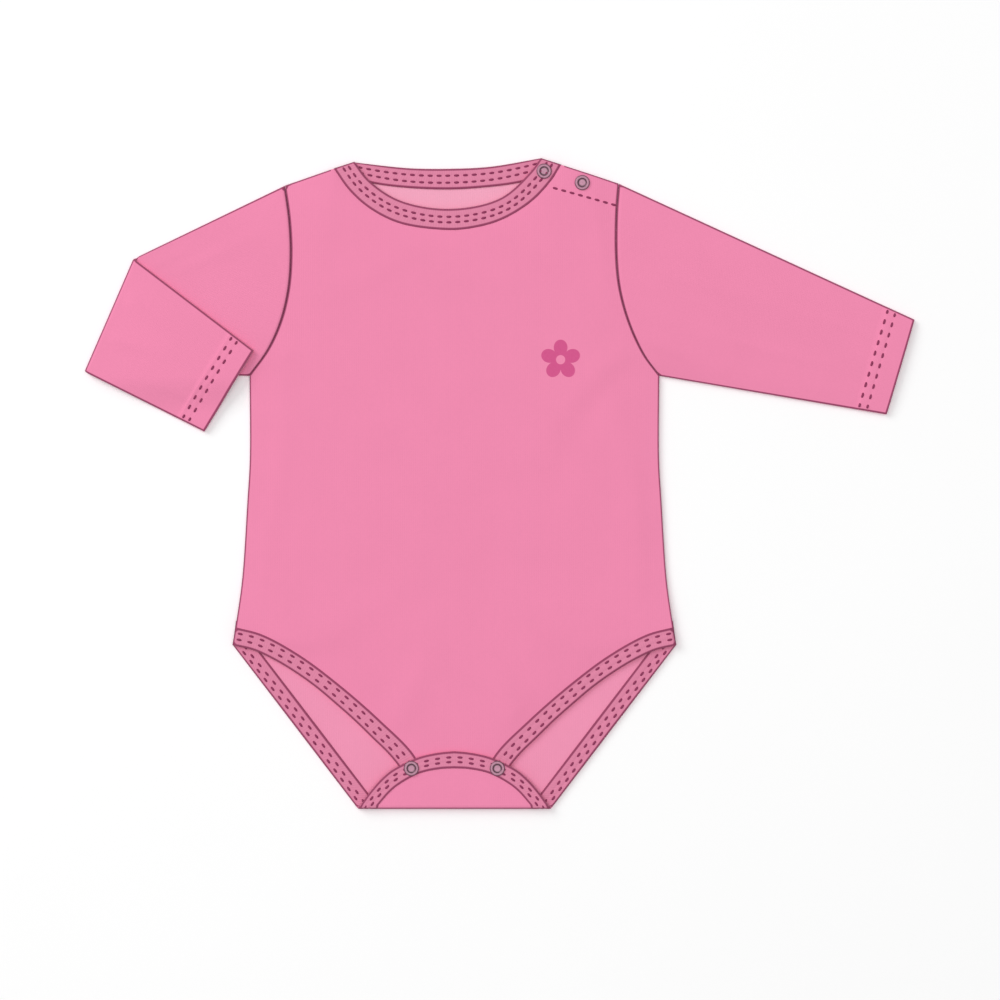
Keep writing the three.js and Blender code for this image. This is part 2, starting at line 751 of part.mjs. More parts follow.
const bodysuit = new THREE.Group();
bodysuit.add(backPanel());
bodysuit.add(frontPanel());
bodysuit.add(straightSleeve());
bodysuit.add(foldedSleeve());
bodysuit.add(backBinding());
bodysuit.add(...frontLegBindings());
bodysuit.add(...neckBindings());
bodysuit.add(shoulderUnderlap());
bodysuit.add(...snaps());
bodysuit.position.x = BODY_X;

export default bodysuit;
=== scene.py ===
"""A long-sleeved baby bodysuit laid flat, front up, one sleeve folded forward at the elbow.

Every size in the tables is in millimetres, measured from the body's centre line, with the neck
towards +Y and the floor at z = 0. Meshes are in metres, moved sideways so that the middle of the
whole outline is the origin.
"""

import bpy
import numpy as np
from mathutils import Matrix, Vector


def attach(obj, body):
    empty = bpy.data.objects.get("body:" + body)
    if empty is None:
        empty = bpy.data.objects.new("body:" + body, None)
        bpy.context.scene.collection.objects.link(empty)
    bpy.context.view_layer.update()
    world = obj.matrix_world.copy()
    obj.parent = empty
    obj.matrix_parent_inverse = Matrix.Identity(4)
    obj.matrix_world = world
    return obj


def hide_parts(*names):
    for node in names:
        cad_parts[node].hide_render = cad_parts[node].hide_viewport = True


bl_info = {
    "name": "Baby Bodysuit",
    "version": (1, 0, 0),
    "blender": (4, 5, 0),
    "location": "View3D > Sidebar > Bodysuit",
    "description": "A long-sleeved baby bodysuit of cotton jersey, laid flat",
    "category": "Add Mesh",
}

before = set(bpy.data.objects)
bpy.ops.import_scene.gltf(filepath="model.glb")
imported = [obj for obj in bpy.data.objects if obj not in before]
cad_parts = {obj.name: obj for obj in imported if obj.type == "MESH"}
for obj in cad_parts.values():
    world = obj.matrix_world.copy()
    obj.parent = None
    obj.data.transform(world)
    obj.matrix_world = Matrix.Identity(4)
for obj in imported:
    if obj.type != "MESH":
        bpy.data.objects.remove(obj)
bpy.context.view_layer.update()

MM = 0.001
BODY_X = -27.3

# Cloth, seams and bands, as they are sewn.
CLOTH = 1.0
SEAM = 0.3
BAND = 2.0
BAND_PROUD = (BAND - CLOTH) / 2
TOE = 0.6
UNDERLAP_WIDTH = 12.0
HEM_WIDTH = 18.0
HEM_EXTRA = 0.3
HEM_STEPS = 45

# Heights of the undersides of the front's edges, and of its middle.
SIDE_HEIGHT = CLOTH + SEAM
LEG_BAND_HEIGHT = CLOTH + SEAM
CROSSING_HEIGHT = BAND + SEAM
NECK_HEIGHT = CROSSING_HEIGHT + BAND_PROUD
FRONT_HEIGHT = 2.8
SLEEVE_LIFT = FRONT_HEIGHT - SIDE_HEIGHT

# The crotch extension turns up round a half circle at FOLD_Y.
FOLD_Y = -195.0
FOLD_RADIUS = (LEG_BAND_HEIGHT + BAND + SEAM + BAND) / 2
FOLD_START = FOLD_Y + FOLD_RADIUS
FOLD_LENGTH = 5.65

# The folded sleeve turns over at the elbow.
ELBOW_RADIUS = 2 * CLOTH + SEAM + SEAM / 2
FOREARM_BULGE = 1.0
FOREARM_RISE = 1.4

# Outlines, as rows of (x or half width, y).
SIDE_SEAM = [(122.7, 64.5), (122.6, 14), (124, -10), (127.2, -58), (131.1, -86.7)]
FRONT_LEG = [
    (131.1, -86.7),
    (115.5, -90.9),
    (92.7, -103.5),
    (68.7, -121.5),
    (44.7, -142.5),
    (24.3, -163.5),
    (16.5, -181.5),
]
FRONT_LEG_FREE = [
    (132.9, -96.9),
    (119.9, -100),
    (107.5, -105.9),
    (95.1, -113.5),
    (83.1, -122.1),
    (71.6, -131.8),
    (60.4, -141.7),
    (49.6, -152.2),
    (39, -162.6),
    (31.8, -172.1),
    (26.6, -185.6),
]
BACK_LEG_CORNER = (132.9, -96.9)
BACK_FOLD_CORNER = (57.9, FOLD_Y)
BACK_SEAM_END = (131, -82.9)
FLAP_SEWN_EDGE = [
    (46, -192.2),
    (38.7, -183.9),
    (32.7, -179.1),
    (20.7, -172.8),
    (8.7, -170.2),
    (0, -169.7),
]
FLAP_EDGE = [
    (55.8, -192.2),
    (51.3, -185.7),
    (44.7, -177.9),
    (38.7, -172.5),
    (32.7, -168.9),
    (20.7, -163.6),
    (8.7, -161),
    (0, -160.2),
]
LEFT_ARMHOLE = [
    (-122.7, 64.5),
    (-111.3, 80.1),
    (-103.7, 96.9),
    (-99.1, 116.1),
    (-97.6, 137.1),
    (-98.6, 158.1),
    (-101.5, 178.5),
]
RIGHT_ARMHOLE = [
    (122.7, 64.5),
    (113.3, 77.1),
    (104.4, 96.3),
    (98.9, 116.1),
    (96.9, 134.1),
    (96.9, 161.1),
    (98.3, 179.7),
]
FRONT_NECK = [
    (-71.7, 188.7),
    (-62.7, 176.1),
    (-50.7, 165.3),
    (-32.7, 156.3),
    (-5.7, 152.4),
    (9.3, 153.3),
    (27.3, 158.1),
    (45.3, 168.9),
    (57.3, 181.5),
    (63.3, 191.1),
]
FRONT_NECK_FREE = [
    (-59.7, 192.6),
    (-50.7, 181.2),
    (-32.7, 169.5),
    (-2.7, 164.4),
    (27.3, 170.7),
    (45.3, 186.3),
    (51.6, 194.8),
]
BACK_NECK = [
    (-71.7, 188.7),
    (-62.7, 184.5),
    (-49.5, 180.6),
    (-32.7, 178.2),
    (-5.7, 176.9),
    (15.3, 177.9),
    (38.7, 180.9),
    (54.3, 185.7),
    (63.3, 191.1),
]
BACK_NECK_FREE = [
    (-60.3, 192.6),
    (-50.7, 191.4),
    (-26.7, 189),
    (-2.7, 188.7),
    (21.3, 189.9),
    (51.9, 195),
]
RIGHT_CUFF = ((275.7, 98.3), (258.9, 41.3))
ELBOW_FOLD = ((-192.3, 134.7), (-221.7, 66.9))
LEFT_CUFF = ((-120, 79.6), (-150, 31))

# How finely the panels and sleeves are drawn: steps for each row or column of the pattern.
FINE = 5
COLUMNS = 22 * FINE
SHOULDER_COLUMNS = 3 * FINE
LEG_ROWS = 10 * FINE
WRAP_ROWS = 6 * FINE
FLAP_ROWS = 5 * FINE
FRONT_LEG_ROWS = 12 * FINE
SIDE_ROWS = 7 * FINE
ARMHOLE_ROWS = 9 * FINE


def smooth_step(value, low, high):
    """0 below low, 1 above high and 3t^2 - 2t^3 between them."""
    share = np.clip((value - low) / (high - low), 0, 1)
    return share * share * (3 - 2 * share)


def fullness(share):
    """How full a flattened shape is across its width: 1 - |2s - 1|^4."""
    return 1 - np.abs(2 * share - 1) ** 4


def mix(first, second, share):
    """first (1 - share) + second share, for points with a share each."""
    share = np.asarray(share, float)[..., None]
    return np.asarray(first) * (1 - share) + np.asarray(second) * share


def line(first, second, steps):
    """Evenly spaced points from the first to the second."""
    return mix(first, second, np.linspace(0, 1, steps + 1))


def along_path(points, shares):
    """Points at shares of a path's length, straight between its own points."""
    lengths = np.linalg.norm(np.diff(points, axis=0), axis=1)
    reached = np.concatenate([[0], np.cumsum(lengths)])
    wanted = np.clip(shares, 0, 1) * reached[-1]
    return np.stack([np.interp(wanted, reached, column) for column in points.T], axis=-1)


def spline(rows, steps=None, shares=None):
    """Centripetal Catmull-Rom curve through the rows, at even shares of its length or given ones.

    Each span is a cubic Hermite curve; its end slopes weigh the neighbouring chords by the square
    roots of their lengths.
    """
    rows = np.asarray(rows, float)
    points = np.vstack([2 * rows[0] - rows[1], rows, 2 * rows[-1] - rows[-2]])
    p0, p1, p2, p3 = points[:-3], points[1:-2], points[2:-1], points[3:]
    d0, d1, d2 = (np.linalg.norm(chord, axis=1)[:, None] ** 0.5 for chord in (p1 - p0, p2 - p1, p3 - p2))
    start = ((p1 - p0) / d0 - (p2 - p0) / (d0 + d1) + (p2 - p1) / d1) * d1
    end = ((p2 - p1) / d1 - (p3 - p1) / (d1 + d2) + (p3 - p2) / d2) * d1
    t = np.linspace(0, 1, 40, endpoint=False)[None, :, None]
    square = 3 * (p2 - p1) - 2 * start - end
    cube = 2 * (p1 - p2) + start + end
    spans = p1[:, None] + start[:, None] * t + square[:, None] * t**2 + cube[:, None] * t**3
    dense = np.vstack([spans.reshape(-1, rows.shape[1]), rows[-1]])
    return along_path(dense, np.linspace(0, 1, steps + 1) if shares is None else shares)


def mirrored(points):
    """The points on the other side of the centre line."""
    return points * [-1, 1]


def shifted(points, distance):
    """The points moved to the left of their direction of travel."""
    ahead = np.vstack([points[1:], points[-1:]])
    behind = np.vstack([points[:1], points[:-1]])
    along = ahead - behind
    along /= np.linalg.norm(along, axis=1)[:, None]
    return points + np.stack([-along[:, 1], along[:, 0]], axis=1) * distance


def column_shares():
    """Shares of the width, closer together at the two sides by a cosine."""
    even = np.linspace(0, 1, COLUMNS + 1)
    return 0.3 * even + 0.7 * (1 - np.cos(np.pi * even)) / 2


def patch(left, right, bottom, top, bottom_weight, top_weight):
    """A grid between four edges: straight rows from left to right, plus how far the bottom and
    top edges stand off their own straight lines, each faded by a weight for each row."""
    shares = column_shares()
    rows = mix(left[:, None], right[:, None], shares[None])
    bottom_shape = bottom - mix(bottom[0], bottom[-1], shares)
    top_shape = top - mix(top[0], top[-1], shares)
    return (
        rows
        + bottom_weight[:, None, None] * bottom_shape
        + top_weight[:, None, None] * top_shape
    )


def panel_top(left_tip, right_tip, neck):
    """A shoulder, the neck edge and the other shoulder."""
    middle = shifted(spline(neck, COLUMNS - 2 * SHOULDER_COLUMNS), -SEAM)
    left = line(left_tip, middle[0], SHOULDER_COLUMNS)
    right = line(middle[-1], right_tip, SHOULDER_COLUMNS)
    return np.vstack([left, middle[1:], right[1:]])


def armhole_weight(rows):
    """0 up to the underarm and then the 1.6th power of the share of the armhole."""
    past = np.arange(rows) - (rows - 1 - ARMHOLE_ROWS)
    return (np.maximum(past, 0) / ARMHOLE_ROWS) ** 1.6


left_armhole = spline(LEFT_ARMHOLE, ARMHOLE_ROWS)
right_armhole = spline(RIGHT_ARMHOLE, ARMHOLE_ROWS)


def fold_over(points, height):
    """Flat pattern to garment: past FOLD_START the cloth turns up round a half circle of
    FOLD_RADIUS and comes back over the front. height is the height over the outer face."""
    x, y = points[..., 0], points[..., 1]
    past = FOLD_START - y
    radius = FOLD_RADIUS - height
    turn = np.pi * np.clip(past / FOLD_LENGTH, 0, 1)
    beyond = np.maximum(past - FOLD_LENGTH, 0)
    before = np.minimum(past, 0)
    folded_y = FOLD_START - before - radius * np.sin(turn) + beyond
    return np.stack([x + 0 * height, folded_y, FOLD_RADIUS - radius * np.cos(turn)], axis=-1)


def unfolded(rows):
    """Points seen on the folded flap, put back on the flat pattern."""
    return [(half, 2 * FOLD_START - FOLD_LENGTH - y) for half, y in rows]


def back_edge(start, fold_half, flap_rows):
    """One edge of the back's binding, from the right side seam to the left one."""
    leg = line(start, (fold_half, FOLD_START), LEG_ROWS)
    flap = spline(unfolded(flap_rows), 2 * FLAP_ROWS)
    wrap = line((fold_half, FOLD_START), flap[0], WRAP_ROWS)
    half = np.vstack([leg, wrap[1:], flap[1:]])
    return np.vstack([half, mirrored(half)[::-1][1:]])


LEG_SLOPE = (BACK_LEG_CORNER[0] - BACK_FOLD_CORNER[0]) / (BACK_LEG_CORNER[1] - FOLD_Y)
FREE_FOLD_HALF = BACK_FOLD_CORNER[0] + LEG_SLOPE * FOLD_RADIUS
SEWN_FOLD_HALF = BACK_SEAM_END[0] - LEG_SLOPE * (BACK_SEAM_END[1] - FOLD_START)
back_free = back_edge(BACK_LEG_CORNER, FREE_FOLD_HALF, FLAP_EDGE)
back_sewn = back_edge(BACK_SEAM_END, SEWN_FOLD_HALF, FLAP_SEWN_EDGE)


def back_pattern():
    """The back's flat pattern as a grid, from the end of the flap up to the neck."""
    edge = shifted(back_sewn, -SEAM)
    corner = LEG_ROWS + WRAP_ROWS + FLAP_ROWS
    seam = spline(SIDE_SEAM, 8 * SIDE_ROWS)[::-1]
    seam = seam[seam[:, 1] > edge[0, 1] + 1]
    seam = along_path(np.vstack([edge[:1], seam]), np.linspace(0, 1, SIDE_ROWS + 1))
    side = np.vstack([edge[: corner + 1][::-1], seam[1:]])
    right = np.vstack([side, right_armhole[1:]])
    left = np.vstack([mirrored(side), left_armhole[1:]])
    bottom = along_path(edge[corner : len(edge) - corner][::-1], column_shares())
    left[0], right[0] = bottom[0], bottom[-1]
    top = panel_top(left[-1], right[-1], BACK_NECK)
    rows = len(left)
    bottom_weight = np.maximum(1 - np.arange(rows) / FLAP_ROWS, 0)
    return patch(left, right, bottom, top, bottom_weight, armhole_weight(rows))


front_leg_sewn = spline(FRONT_LEG, FRONT_LEG_ROWS)
front_leg_free = spline(FRONT_LEG_FREE, FRONT_LEG_ROWS)
FRONT_LEG_LENGTH = np.linalg.norm(np.diff(front_leg_sewn, axis=0), axis=1).sum()


def front_leg_band_height():
    """Underside of the front's leg bands: over the back's band at the side, then lower."""
    from_side = np.linspace(0, FRONT_LEG_LENGTH, FRONT_LEG_ROWS + 1)
    drop = smooth_step(from_side, 18, 45)
    return CROSSING_HEIGHT * (1 - drop) + LEG_BAND_HEIGHT * drop


def front_pattern():
    """The front's flat pattern as a grid of (x, y), and the height of its underside."""
    leg = shifted(front_leg_sewn, -SEAM)[::-1]
    side = spline(SIDE_SEAM, SIDE_ROWS)[::-1]
    half = np.vstack([leg[:-1], side])
    right = np.vstack([half, right_armhole[1:]])
    left = np.vstack([mirrored(half), left_armhole[1:]])
    shares = column_shares()
    bottom = mix(left[0], right[0], shares)
    top = panel_top(left[-1], right[-1], FRONT_NECK)
    rows = len(left)
    weight = armhole_weight(rows)
    flat = patch(left, right, bottom, top, np.zeros(rows), weight)

    above = left[FRONT_LEG_ROWS : len(half), 1] - left[FRONT_LEG_ROWS, 1]
    rise = smooth_step(above, 0, 40)
    head = fullness(np.linspace(0, 1, ARMHOLE_ROWS + 1)[1:])
    side_height = np.concatenate(
        [
            front_leg_band_height()[::-1][:-1] + BAND_PROUD,
            NECK_HEIGHT * (1 - rise) + SIDE_HEIGHT * rise,
            SIDE_HEIGHT + SLEEVE_LIFT * head,
        ]
    )
    column = np.arange(COLUMNS + 1)
    to_tip = np.minimum(column, COLUMNS - column) / SHOULDER_COLUMNS
    to_tip = np.where(column < COLUMNS / 2, to_tip, 2 * to_tip)
    top_rise = (NECK_HEIGHT - SIDE_HEIGHT) * smooth_step(to_tip, 0, 1)
    edge = side_height[:, None] + weight[:, None] * top_rise
    middle = fullness(shares) * fullness(np.linspace(0, 1, rows))[:, None]
    return flat, edge * (1 - middle) + FRONT_HEIGHT * middle


# Soft creases of the front, as rows of (x, y, degrees from +X, length, width, height).
FRONT_CREASES = [
    (-96, 78, -38, 42, 7, 0.9),
    (-84, 60, -52, 48, 9, -0.5),
    (98, 74, 218, 46, 8, 0.8),
    (86, 52, 236, 44, 9, -0.5),
    (-104, 10, 84, 70, 8, 0.5),
    (108, -8, 97, 64, 9, 0.55),
    (-30, -132, 62, 44, 9, 0.6),
    (34, -128, 116, 40, 8, 0.5),
    (2, -60, 8, 90, 16, -0.35),
    (-40, 30, -14, 80, 14, 0.3),
    (58, -88, 148, 46, 9, 0.45),
    (-66, -84, 30, 50, 10, 0.45),
    (36, 122, -24, 36, 8, 0.35),
    (-46, 128, 28, 34, 8, 0.35),
]

# The same for the back. They are all ridges, because it lies on the floor.
BACK_CREASES = [
    (-88, 60, -48, 46, 9, 0.5),
    (92, 56, 228, 44, 9, 0.5),
    (-20, 96, 12, 60, 10, 0.4),
    (46, 20, -20, 76, 12, 0.4),
    (-70, -30, 76, 60, 10, 0.45),
    (88, -70, 112, 46, 9, 0.45),
    (-24, -118, 58, 42, 9, 0.5),
    (30, -138, 118, 34, 8, 0.4),
]

# Soft creases of a sleeve, as rows of (share of length, share of width, length, width, lean,
# height), the length and width as shares too.
STRAIGHT_CREASES = [
    (0.10, 0.80, 0.16, 0.06, 0.30, 0.8),
    (0.34, 0.35, 0.20, 0.05, -0.10, 0.45),
    (0.52, 0.66, 0.22, 0.05, 0.06, 0.5),
    (0.74, 0.30, 0.14, 0.05, -0.05, 0.35),
    (0.22, 0.55, 0.14, 0.07, 0.12, -0.4),
]
UPPER_ARM_CREASES = [
    (0.18, 0.72, 0.18, 0.06, 0.25, 0.5),
    (0.46, 0.22, 0.24, 0.06, 0.10, 0.45),
    (0.72, 0.12, 0.16, 0.05, 0.05, 0.35),
]
FOREARM_CREASES = [
    (0.10, 0.30, 0.16, 0.07, 0.25, 0.7),
    (0.18, 0.62, 0.20, 0.06, -0.22, 0.8),
    (0.52, 0.46, 0.24, 0.06, 0.06, 0.4),
    (0.66, 0.80, 0.16, 0.05, -0.04, 0.35),
]


def panel_creases(flat, rows):
    """Sum of long bell-shaped ridges and troughs: height exp(-(along/length)^2 -
    (across/width)^2), each bent a little by its own length."""
    total = np.zeros(flat.shape[:2])
    for x, y, degrees, length, width, height in rows:
        angle = np.radians(degrees)
        to_x, to_y = flat[..., 0] - x, flat[..., 1] - y
        along = to_x * np.cos(angle) + to_y * np.sin(angle)
        across = to_y * np.cos(angle) - to_x * np.sin(angle) - 0.1 * along**2 / length
        total += height * np.exp(-((along / length) ** 2) - (across / width) ** 2)
    return total


def sleeve_creases(along, share, rows):
    """The same bells in shares of a sleeve's length and width, leaning across it."""
    total = np.zeros(np.broadcast_shapes(along.shape, share.shape))
    for place, centre, length, width, lean, height in rows:
        away = along - place
        across = share - centre - lean * away
        total += height * np.exp(-((away / length) ** 2) - (across / width) ** 2)
    return total


def grid_quads(rows, columns, closed=False):
    """Corners of the faces of a grid, row by row; a closed one joins its last column to its
    first."""
    numbers = np.arange(rows * columns).reshape(rows, columns)
    if closed:
        numbers = np.hstack([numbers, numbers[:, :1]])
    corners = (numbers[:-1, :-1], numbers[:-1, 1:], numbers[1:, 1:], numbers[1:, :-1])
    return np.stack(corners, axis=-1).reshape(-1, 4)


def rim_quads(rows, columns, lower):
    """Faces round the rim, between a grid and one whose numbers start at lower."""
    numbers = np.arange(rows * columns).reshape(rows, columns)
    rim = np.concatenate([numbers[0, :-1], numbers[:-1, -1], numbers[-1, :0:-1], numbers[:0:-1, 0]])
    after = np.roll(rim, -1)
    return np.stack([rim, rim + lower, after + lower, after], axis=-1)


def turned_outwards(points, faces):
    """The faces as they are, or all turned round if the volume that they enclose is negative."""
    volume = 0
    for face in faces:
        first = points[face[:, 0]]
        for corner in range(1, face.shape[1] - 1):
            normal = np.cross(points[face[:, corner]], points[face[:, corner + 1]])
            volume += (first * normal).sum()
    return faces if volume > 0 else [face[:, ::-1] for face in faces]


def add_piece(name, points, faces, material, uv=None, edge=None, inside=None):
    """A smooth closed mesh from points in millimetres and arrays of faces, each array with its
    own number of corners. uv and edge are in millimetres too."""
    points = np.asarray(points, float).reshape(-1, 3)
    faces = turned_outwards(points, faces)
    corners = np.concatenate([face.ravel() for face in faces])
    sizes = np.concatenate([np.full(len(face), face.shape[1]) for face in faces])
    mesh = bpy.data.meshes.new(name)
    mesh.vertices.add(len(points))
    mesh.vertices.foreach_set("co", ((points + [BODY_X, 0, 0]) * MM).ravel())
    mesh.loops.add(len(corners))
    mesh.loops.foreach_set("vertex_index", corners)
    mesh.polygons.add(len(sizes))
    mesh.polygons.foreach_set("loop_start", np.cumsum(sizes) - sizes)
    mesh.polygons.foreach_set("use_smooth", np.ones(len(sizes), bool))
    mesh.update(calc_edges=True)
    if uv is not None:
        layer = mesh.uv_layers.new(name="Cloth")
        flat = np.asarray(uv, float).reshape(-1, 2)[corners] * MM
        layer.uv.foreach_set("vector", flat.ravel())
    for title, values in (("edge", edge), ("inside", inside)):
        if values is not None:
            attribute = mesh.attributes.new(title, "FLOAT", "POINT")
            scale = MM if title == "edge" else 1
            attribute.data.foreach_set("value", np.asarray(values, float).ravel() * scale)
    mesh.materials.append(material)
    piece = bpy.data.objects.new(name, mesh)
    bpy.context.collection.objects.link(piece)
    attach(piece, "root")
    return piece


def round_rim(piece, width):
    """A live bevel of the sharp rim of a cloth wall."""
    bevel = piece.modifiers.new("Rounded rim", "BEVEL")
    bevel.width = width
    bevel.segments = 3
    bevel.limit_method = "ANGLE"
    bevel.angle_limit = np.radians(50)


def edge_distance(grid):
    """How far each point of a grid is from the grid's edges, along its own row and column."""
    across = np.linalg.norm(np.diff(grid, axis=1), axis=2)
    up = np.linalg.norm(np.diff(grid, axis=0), axis=2)
    from_left = np.pad(np.cumsum(across, axis=1), ((0, 0), (1, 0)))
    from_bottom = np.pad(np.cumsum(up, axis=0), ((1, 0), (0, 0)))
    sides = np.minimum(from_left, from_left[:, -1:] - from_left)
    ends = np.minimum(from_bottom, from_bottom[-1:] - from_bottom)
    return np.minimum(sides, ends)


def cloth_wall(name, upper, lower, pattern, material, lines, inside=(0, 0)):
    """A wall of cloth between two grids, with the pattern's own places as its UV map. lines are
    each point's distances from a painted shade line on the upper and on the lower face."""
    rows, columns = upper.shape[:2]
    size = rows * columns
    quads = grid_quads(rows, columns)
    faces = np.vstack([quads, quads[:, ::-1] + size, rim_quads(rows, columns, size)])
    distance = np.stack([np.broadcast_to(line, (rows, columns)) for line in lines])
    return add_piece(
        name,
        np.concatenate([upper.reshape(-1, 3), lower.reshape(-1, 3)]),
        [faces],
        material,
        uv=np.concatenate([pattern.reshape(-1, 2)] * 2),
        edge=distance.ravel(),
        inside=np.concatenate([np.broadcast_to(side, (rows, columns)).ravel() for side in inside]),
    )


def tube_loops(width, cloth, inset, roof, floor):
    """Round a flattened tube, for each station: half circles at its two folded edges, joined by
    a floor and a roof that bulge out. Gives places across it and heights over its floor."""
    radius = cloth + SEAM / 2
    shares = np.linspace(0, 1, roof.shape[1])[None]
    across = radius + (width - 2 * radius) * shares
    turn = radius - inset
    half = np.radians(np.linspace(-75, 75, 7))[None]
    far_across = width - radius + turn * np.cos(half)
    near_across = radius - turn * np.cos(half)
    rising = radius + turn * np.sin(half)
    places = [across, far_across, across[:, ::-1], near_across]
    top = 2 * radius - inset + roof
    heights = [inset - floor, rising, top[:, ::-1], rising[:, ::-1]]
    rows = len(width)
    widen = [np.broadcast_to(part, (rows, part.shape[1])) for part in heights]
    return np.hstack(places), np.hstack(widen)


def rim_hidden(turned_over):
    """1 at the points of a flattened tube's loop that can't be seen from above, 0 at others. A
    tube that has turned over shows its floor."""
    shown = np.concatenate([np.zeros(61), RIM_SHOWN, np.ones(61), RIM_SHOWN[::-1]])
    turned = np.concatenate([np.ones(61), RIM_SHOWN[::-1], np.zeros(61), RIM_SHOWN])
    return 1 - np.where(turned_over[:, None], turned, shown)


def cloth_tube(name, sections, along, material, elbow=None):
    """A tube of cloth, open at both ends. sections gives its outer and inner loops' points and
    the places across the cloth; along is each station's distance from the seam, and elbow each
    station's distance from the painted shade line along its fold, if it has one."""
    outer, inner, across = sections
    # Painted shade lines along the folded edges, the cuff, the armhole seam and the elbow fold, left off
    # the points that can't be seen from above.
    turned_over = outer[:, 0, 2] > outer[:, 98, 2]
    stretch = np.ptp(across, axis=1, keepdims=True)
    from_fold = np.abs(np.minimum(across, stretch - across) - SHADE_LINE_INSET)
    from_cuff = np.abs(along[-1] - along - SHADE_LINE_INSET)[:, None]
    line = np.minimum(from_fold, from_cuff) * 1.2
    line = np.minimum(line, along[:, None]) + NO_SHADE_LINE * rim_hidden(turned_over)
    if elbow is not None:
        line = np.minimum(line, elbow[:, None])
    stations, size = outer.shape[:2]
    first_inner = stations * size
    skin = grid_quads(stations, size, closed=True)
    ring = np.arange(size)
    after = np.roll(ring, -1)
    last = (stations - 1) * size
    head = np.stack([ring, after, after + first_inner, ring + first_inner], axis=-1)
    cuff = head[:, ::-1] + last
    faces = np.vstack([skin, skin[:, ::-1] + first_inner, head[:, ::-1], cuff[:, ::-1]])
    uv = np.stack([across, np.broadcast_to(along[:, None], across.shape)], axis=-1)
    inside = np.concatenate([np.zeros(first_inner), np.ones(first_inner)])
    return add_piece(
        name,
        np.concatenate([outer.reshape(-1, 3), inner.reshape(-1, 3)]),
        [faces],
        material,
        uv=np.concatenate([uv.reshape(-1, 2)] * 2),
        edge=np.concatenate([line.ravel()] * 2),
        inside=inside,
    )


def sleeve_head(armhole, side):
    """The armhole as the sleeve meets it, from the shoulder to the underarm."""
    return armhole[::-1] + [side * SEAM, 0]


def sleeve_width(head, cuff, shares):
    """Width of the sleeve at shares of its length, between its two folded edges."""
    top = mix(head[0], cuff[0], shares)
    bottom = mix(head[-1], cuff[1], shares)
    return np.linalg.norm(top - bottom, axis=1)[:, None]


def sleeve_stations(steps):
    """Stations along a sleeve: how far each one is on the way to the hem, in even steps, and how
    far it is from the cuff once there."""
    way = np.concatenate([np.linspace(0, 1, steps), np.ones(HEM_STEPS)])
    left = np.linspace(HEM_WIDTH, 0, HEM_STEPS + 1)[1:]
    return way, np.concatenate([np.full(steps, HEM_WIDTH), left])


def sleeve_flat(head, cuff, share, stations):
    """Flat points where the stations cross straight lines from the head to the cuff, at shares
    of the width: at way (1 - left / length) of each line, so the hem is as wide all along."""
    start = along_path(head, share)
    end = mix(*cuff, np.clip(share, 0, 1))
    way, left = (np.reshape(part, (-1, 1)) for part in stations)
    return mix(start, end, way * (1 - left / np.linalg.norm(end - start, axis=-1)))


def sleeve_middle(head, cuff, stations):
    """Length of a sleeve's middle line, and the stations' shares of it."""
    start = along_path(head, np.array([0.5]))[0]
    length = np.linalg.norm(mix(*cuff, 0.5) - start)
    way, left = stations
    return length, way * (1 - left / length)


def hem_cloth(shares, length):
    """Cloth's thickness in each station: thicker by the turned-in layer within the hem."""
    into_hem = (shares - 1) * length + HEM_WIDTH
    return (CLOTH + HEM_EXTRA * smooth_step(into_hem, 0, 0.8))[:, None]


# Rows of stitches, by their distance from a hem's, a binding's or a shoulder's edge.
RIGHT_HEM_ROWS = (12.3, 17.0)
LEFT_HEM_ROWS = (11.2, 15.0)
FRONT_LEG_ROWS_IN = ((4.1, 2.9), (7.7, 7.0))
BACK_LEG_ROWS_IN = (3.4, 6.7)
FLAP_ROWS_IN = (3.4, 6.2)
FRONT_NECK_ROWS_IN = (4.8, 8.1)
BACK_NECK_ROWS_IN = (4.2, 8.4)


def hem_press(shares, length, rows):
    """How far the rows of stitches pull the hem in: a narrow bell at each row."""
    from_cuff = ((1 - shares) * length)[:, None]
    return sum(0.16 * np.exp(-(((from_cuff - row) / 0.9) ** 2)) for row in rows)


def straight_sleeve_sections():
    """The right sleeve's loops of points, outer and inner, and the outer one's places across."""
    head = sleeve_head(right_armhole, 1)
    stations = sleeve_stations(60)
    length, shares = sleeve_middle(head, RIGHT_CUFF, stations)
    ends = sleeve_flat(head, RIGHT_CUFF, np.tile([0.0, 1.0], (len(shares), 1)), stations)
    width = np.linalg.norm(ends[:, 0] - ends[:, 1], axis=1)[:, None]
    cloth = hem_cloth(shares, length)
    across = np.linspace(0, 1, 61)[None]
    roof = SLEEVE_LIFT * (1 - 0.4 * shares[:, None]) * fullness(across)
    roof = roof + sleeve_creases(shares[:, None], across, STRAIGHT_CREASES) * fullness(across)
    roof = roof - hem_press(shares, length, RIGHT_HEM_ROWS) * fullness(across)
    loops, across = [], []
    for inset in (0, cloth):
        places, heights = tube_loops(width, cloth, inset, roof, 0 * roof)
        flat = sleeve_flat(head, RIGHT_CUFF, places / width, stations)
        loops.append(flat_place(flat, heights))
        across.append(places)
    return (*loops, across[0]), shares * length


def turn_line(ends):
    """Where the left sleeve starts or stops turning over: ELBOW_RADIUS inwards of the fold, on
    the straight edges from the fold's corners to the ends."""
    corners = np.array(ELBOW_FOLD)
    along = corners[0] - corners[1]
    inwards = np.array([along[1], -along[0]]) / np.linalg.norm(along)
    edges = np.asarray(ends) - corners
    return corners + edges * (ELBOW_RADIUS / (edges @ inwards))[:, None]


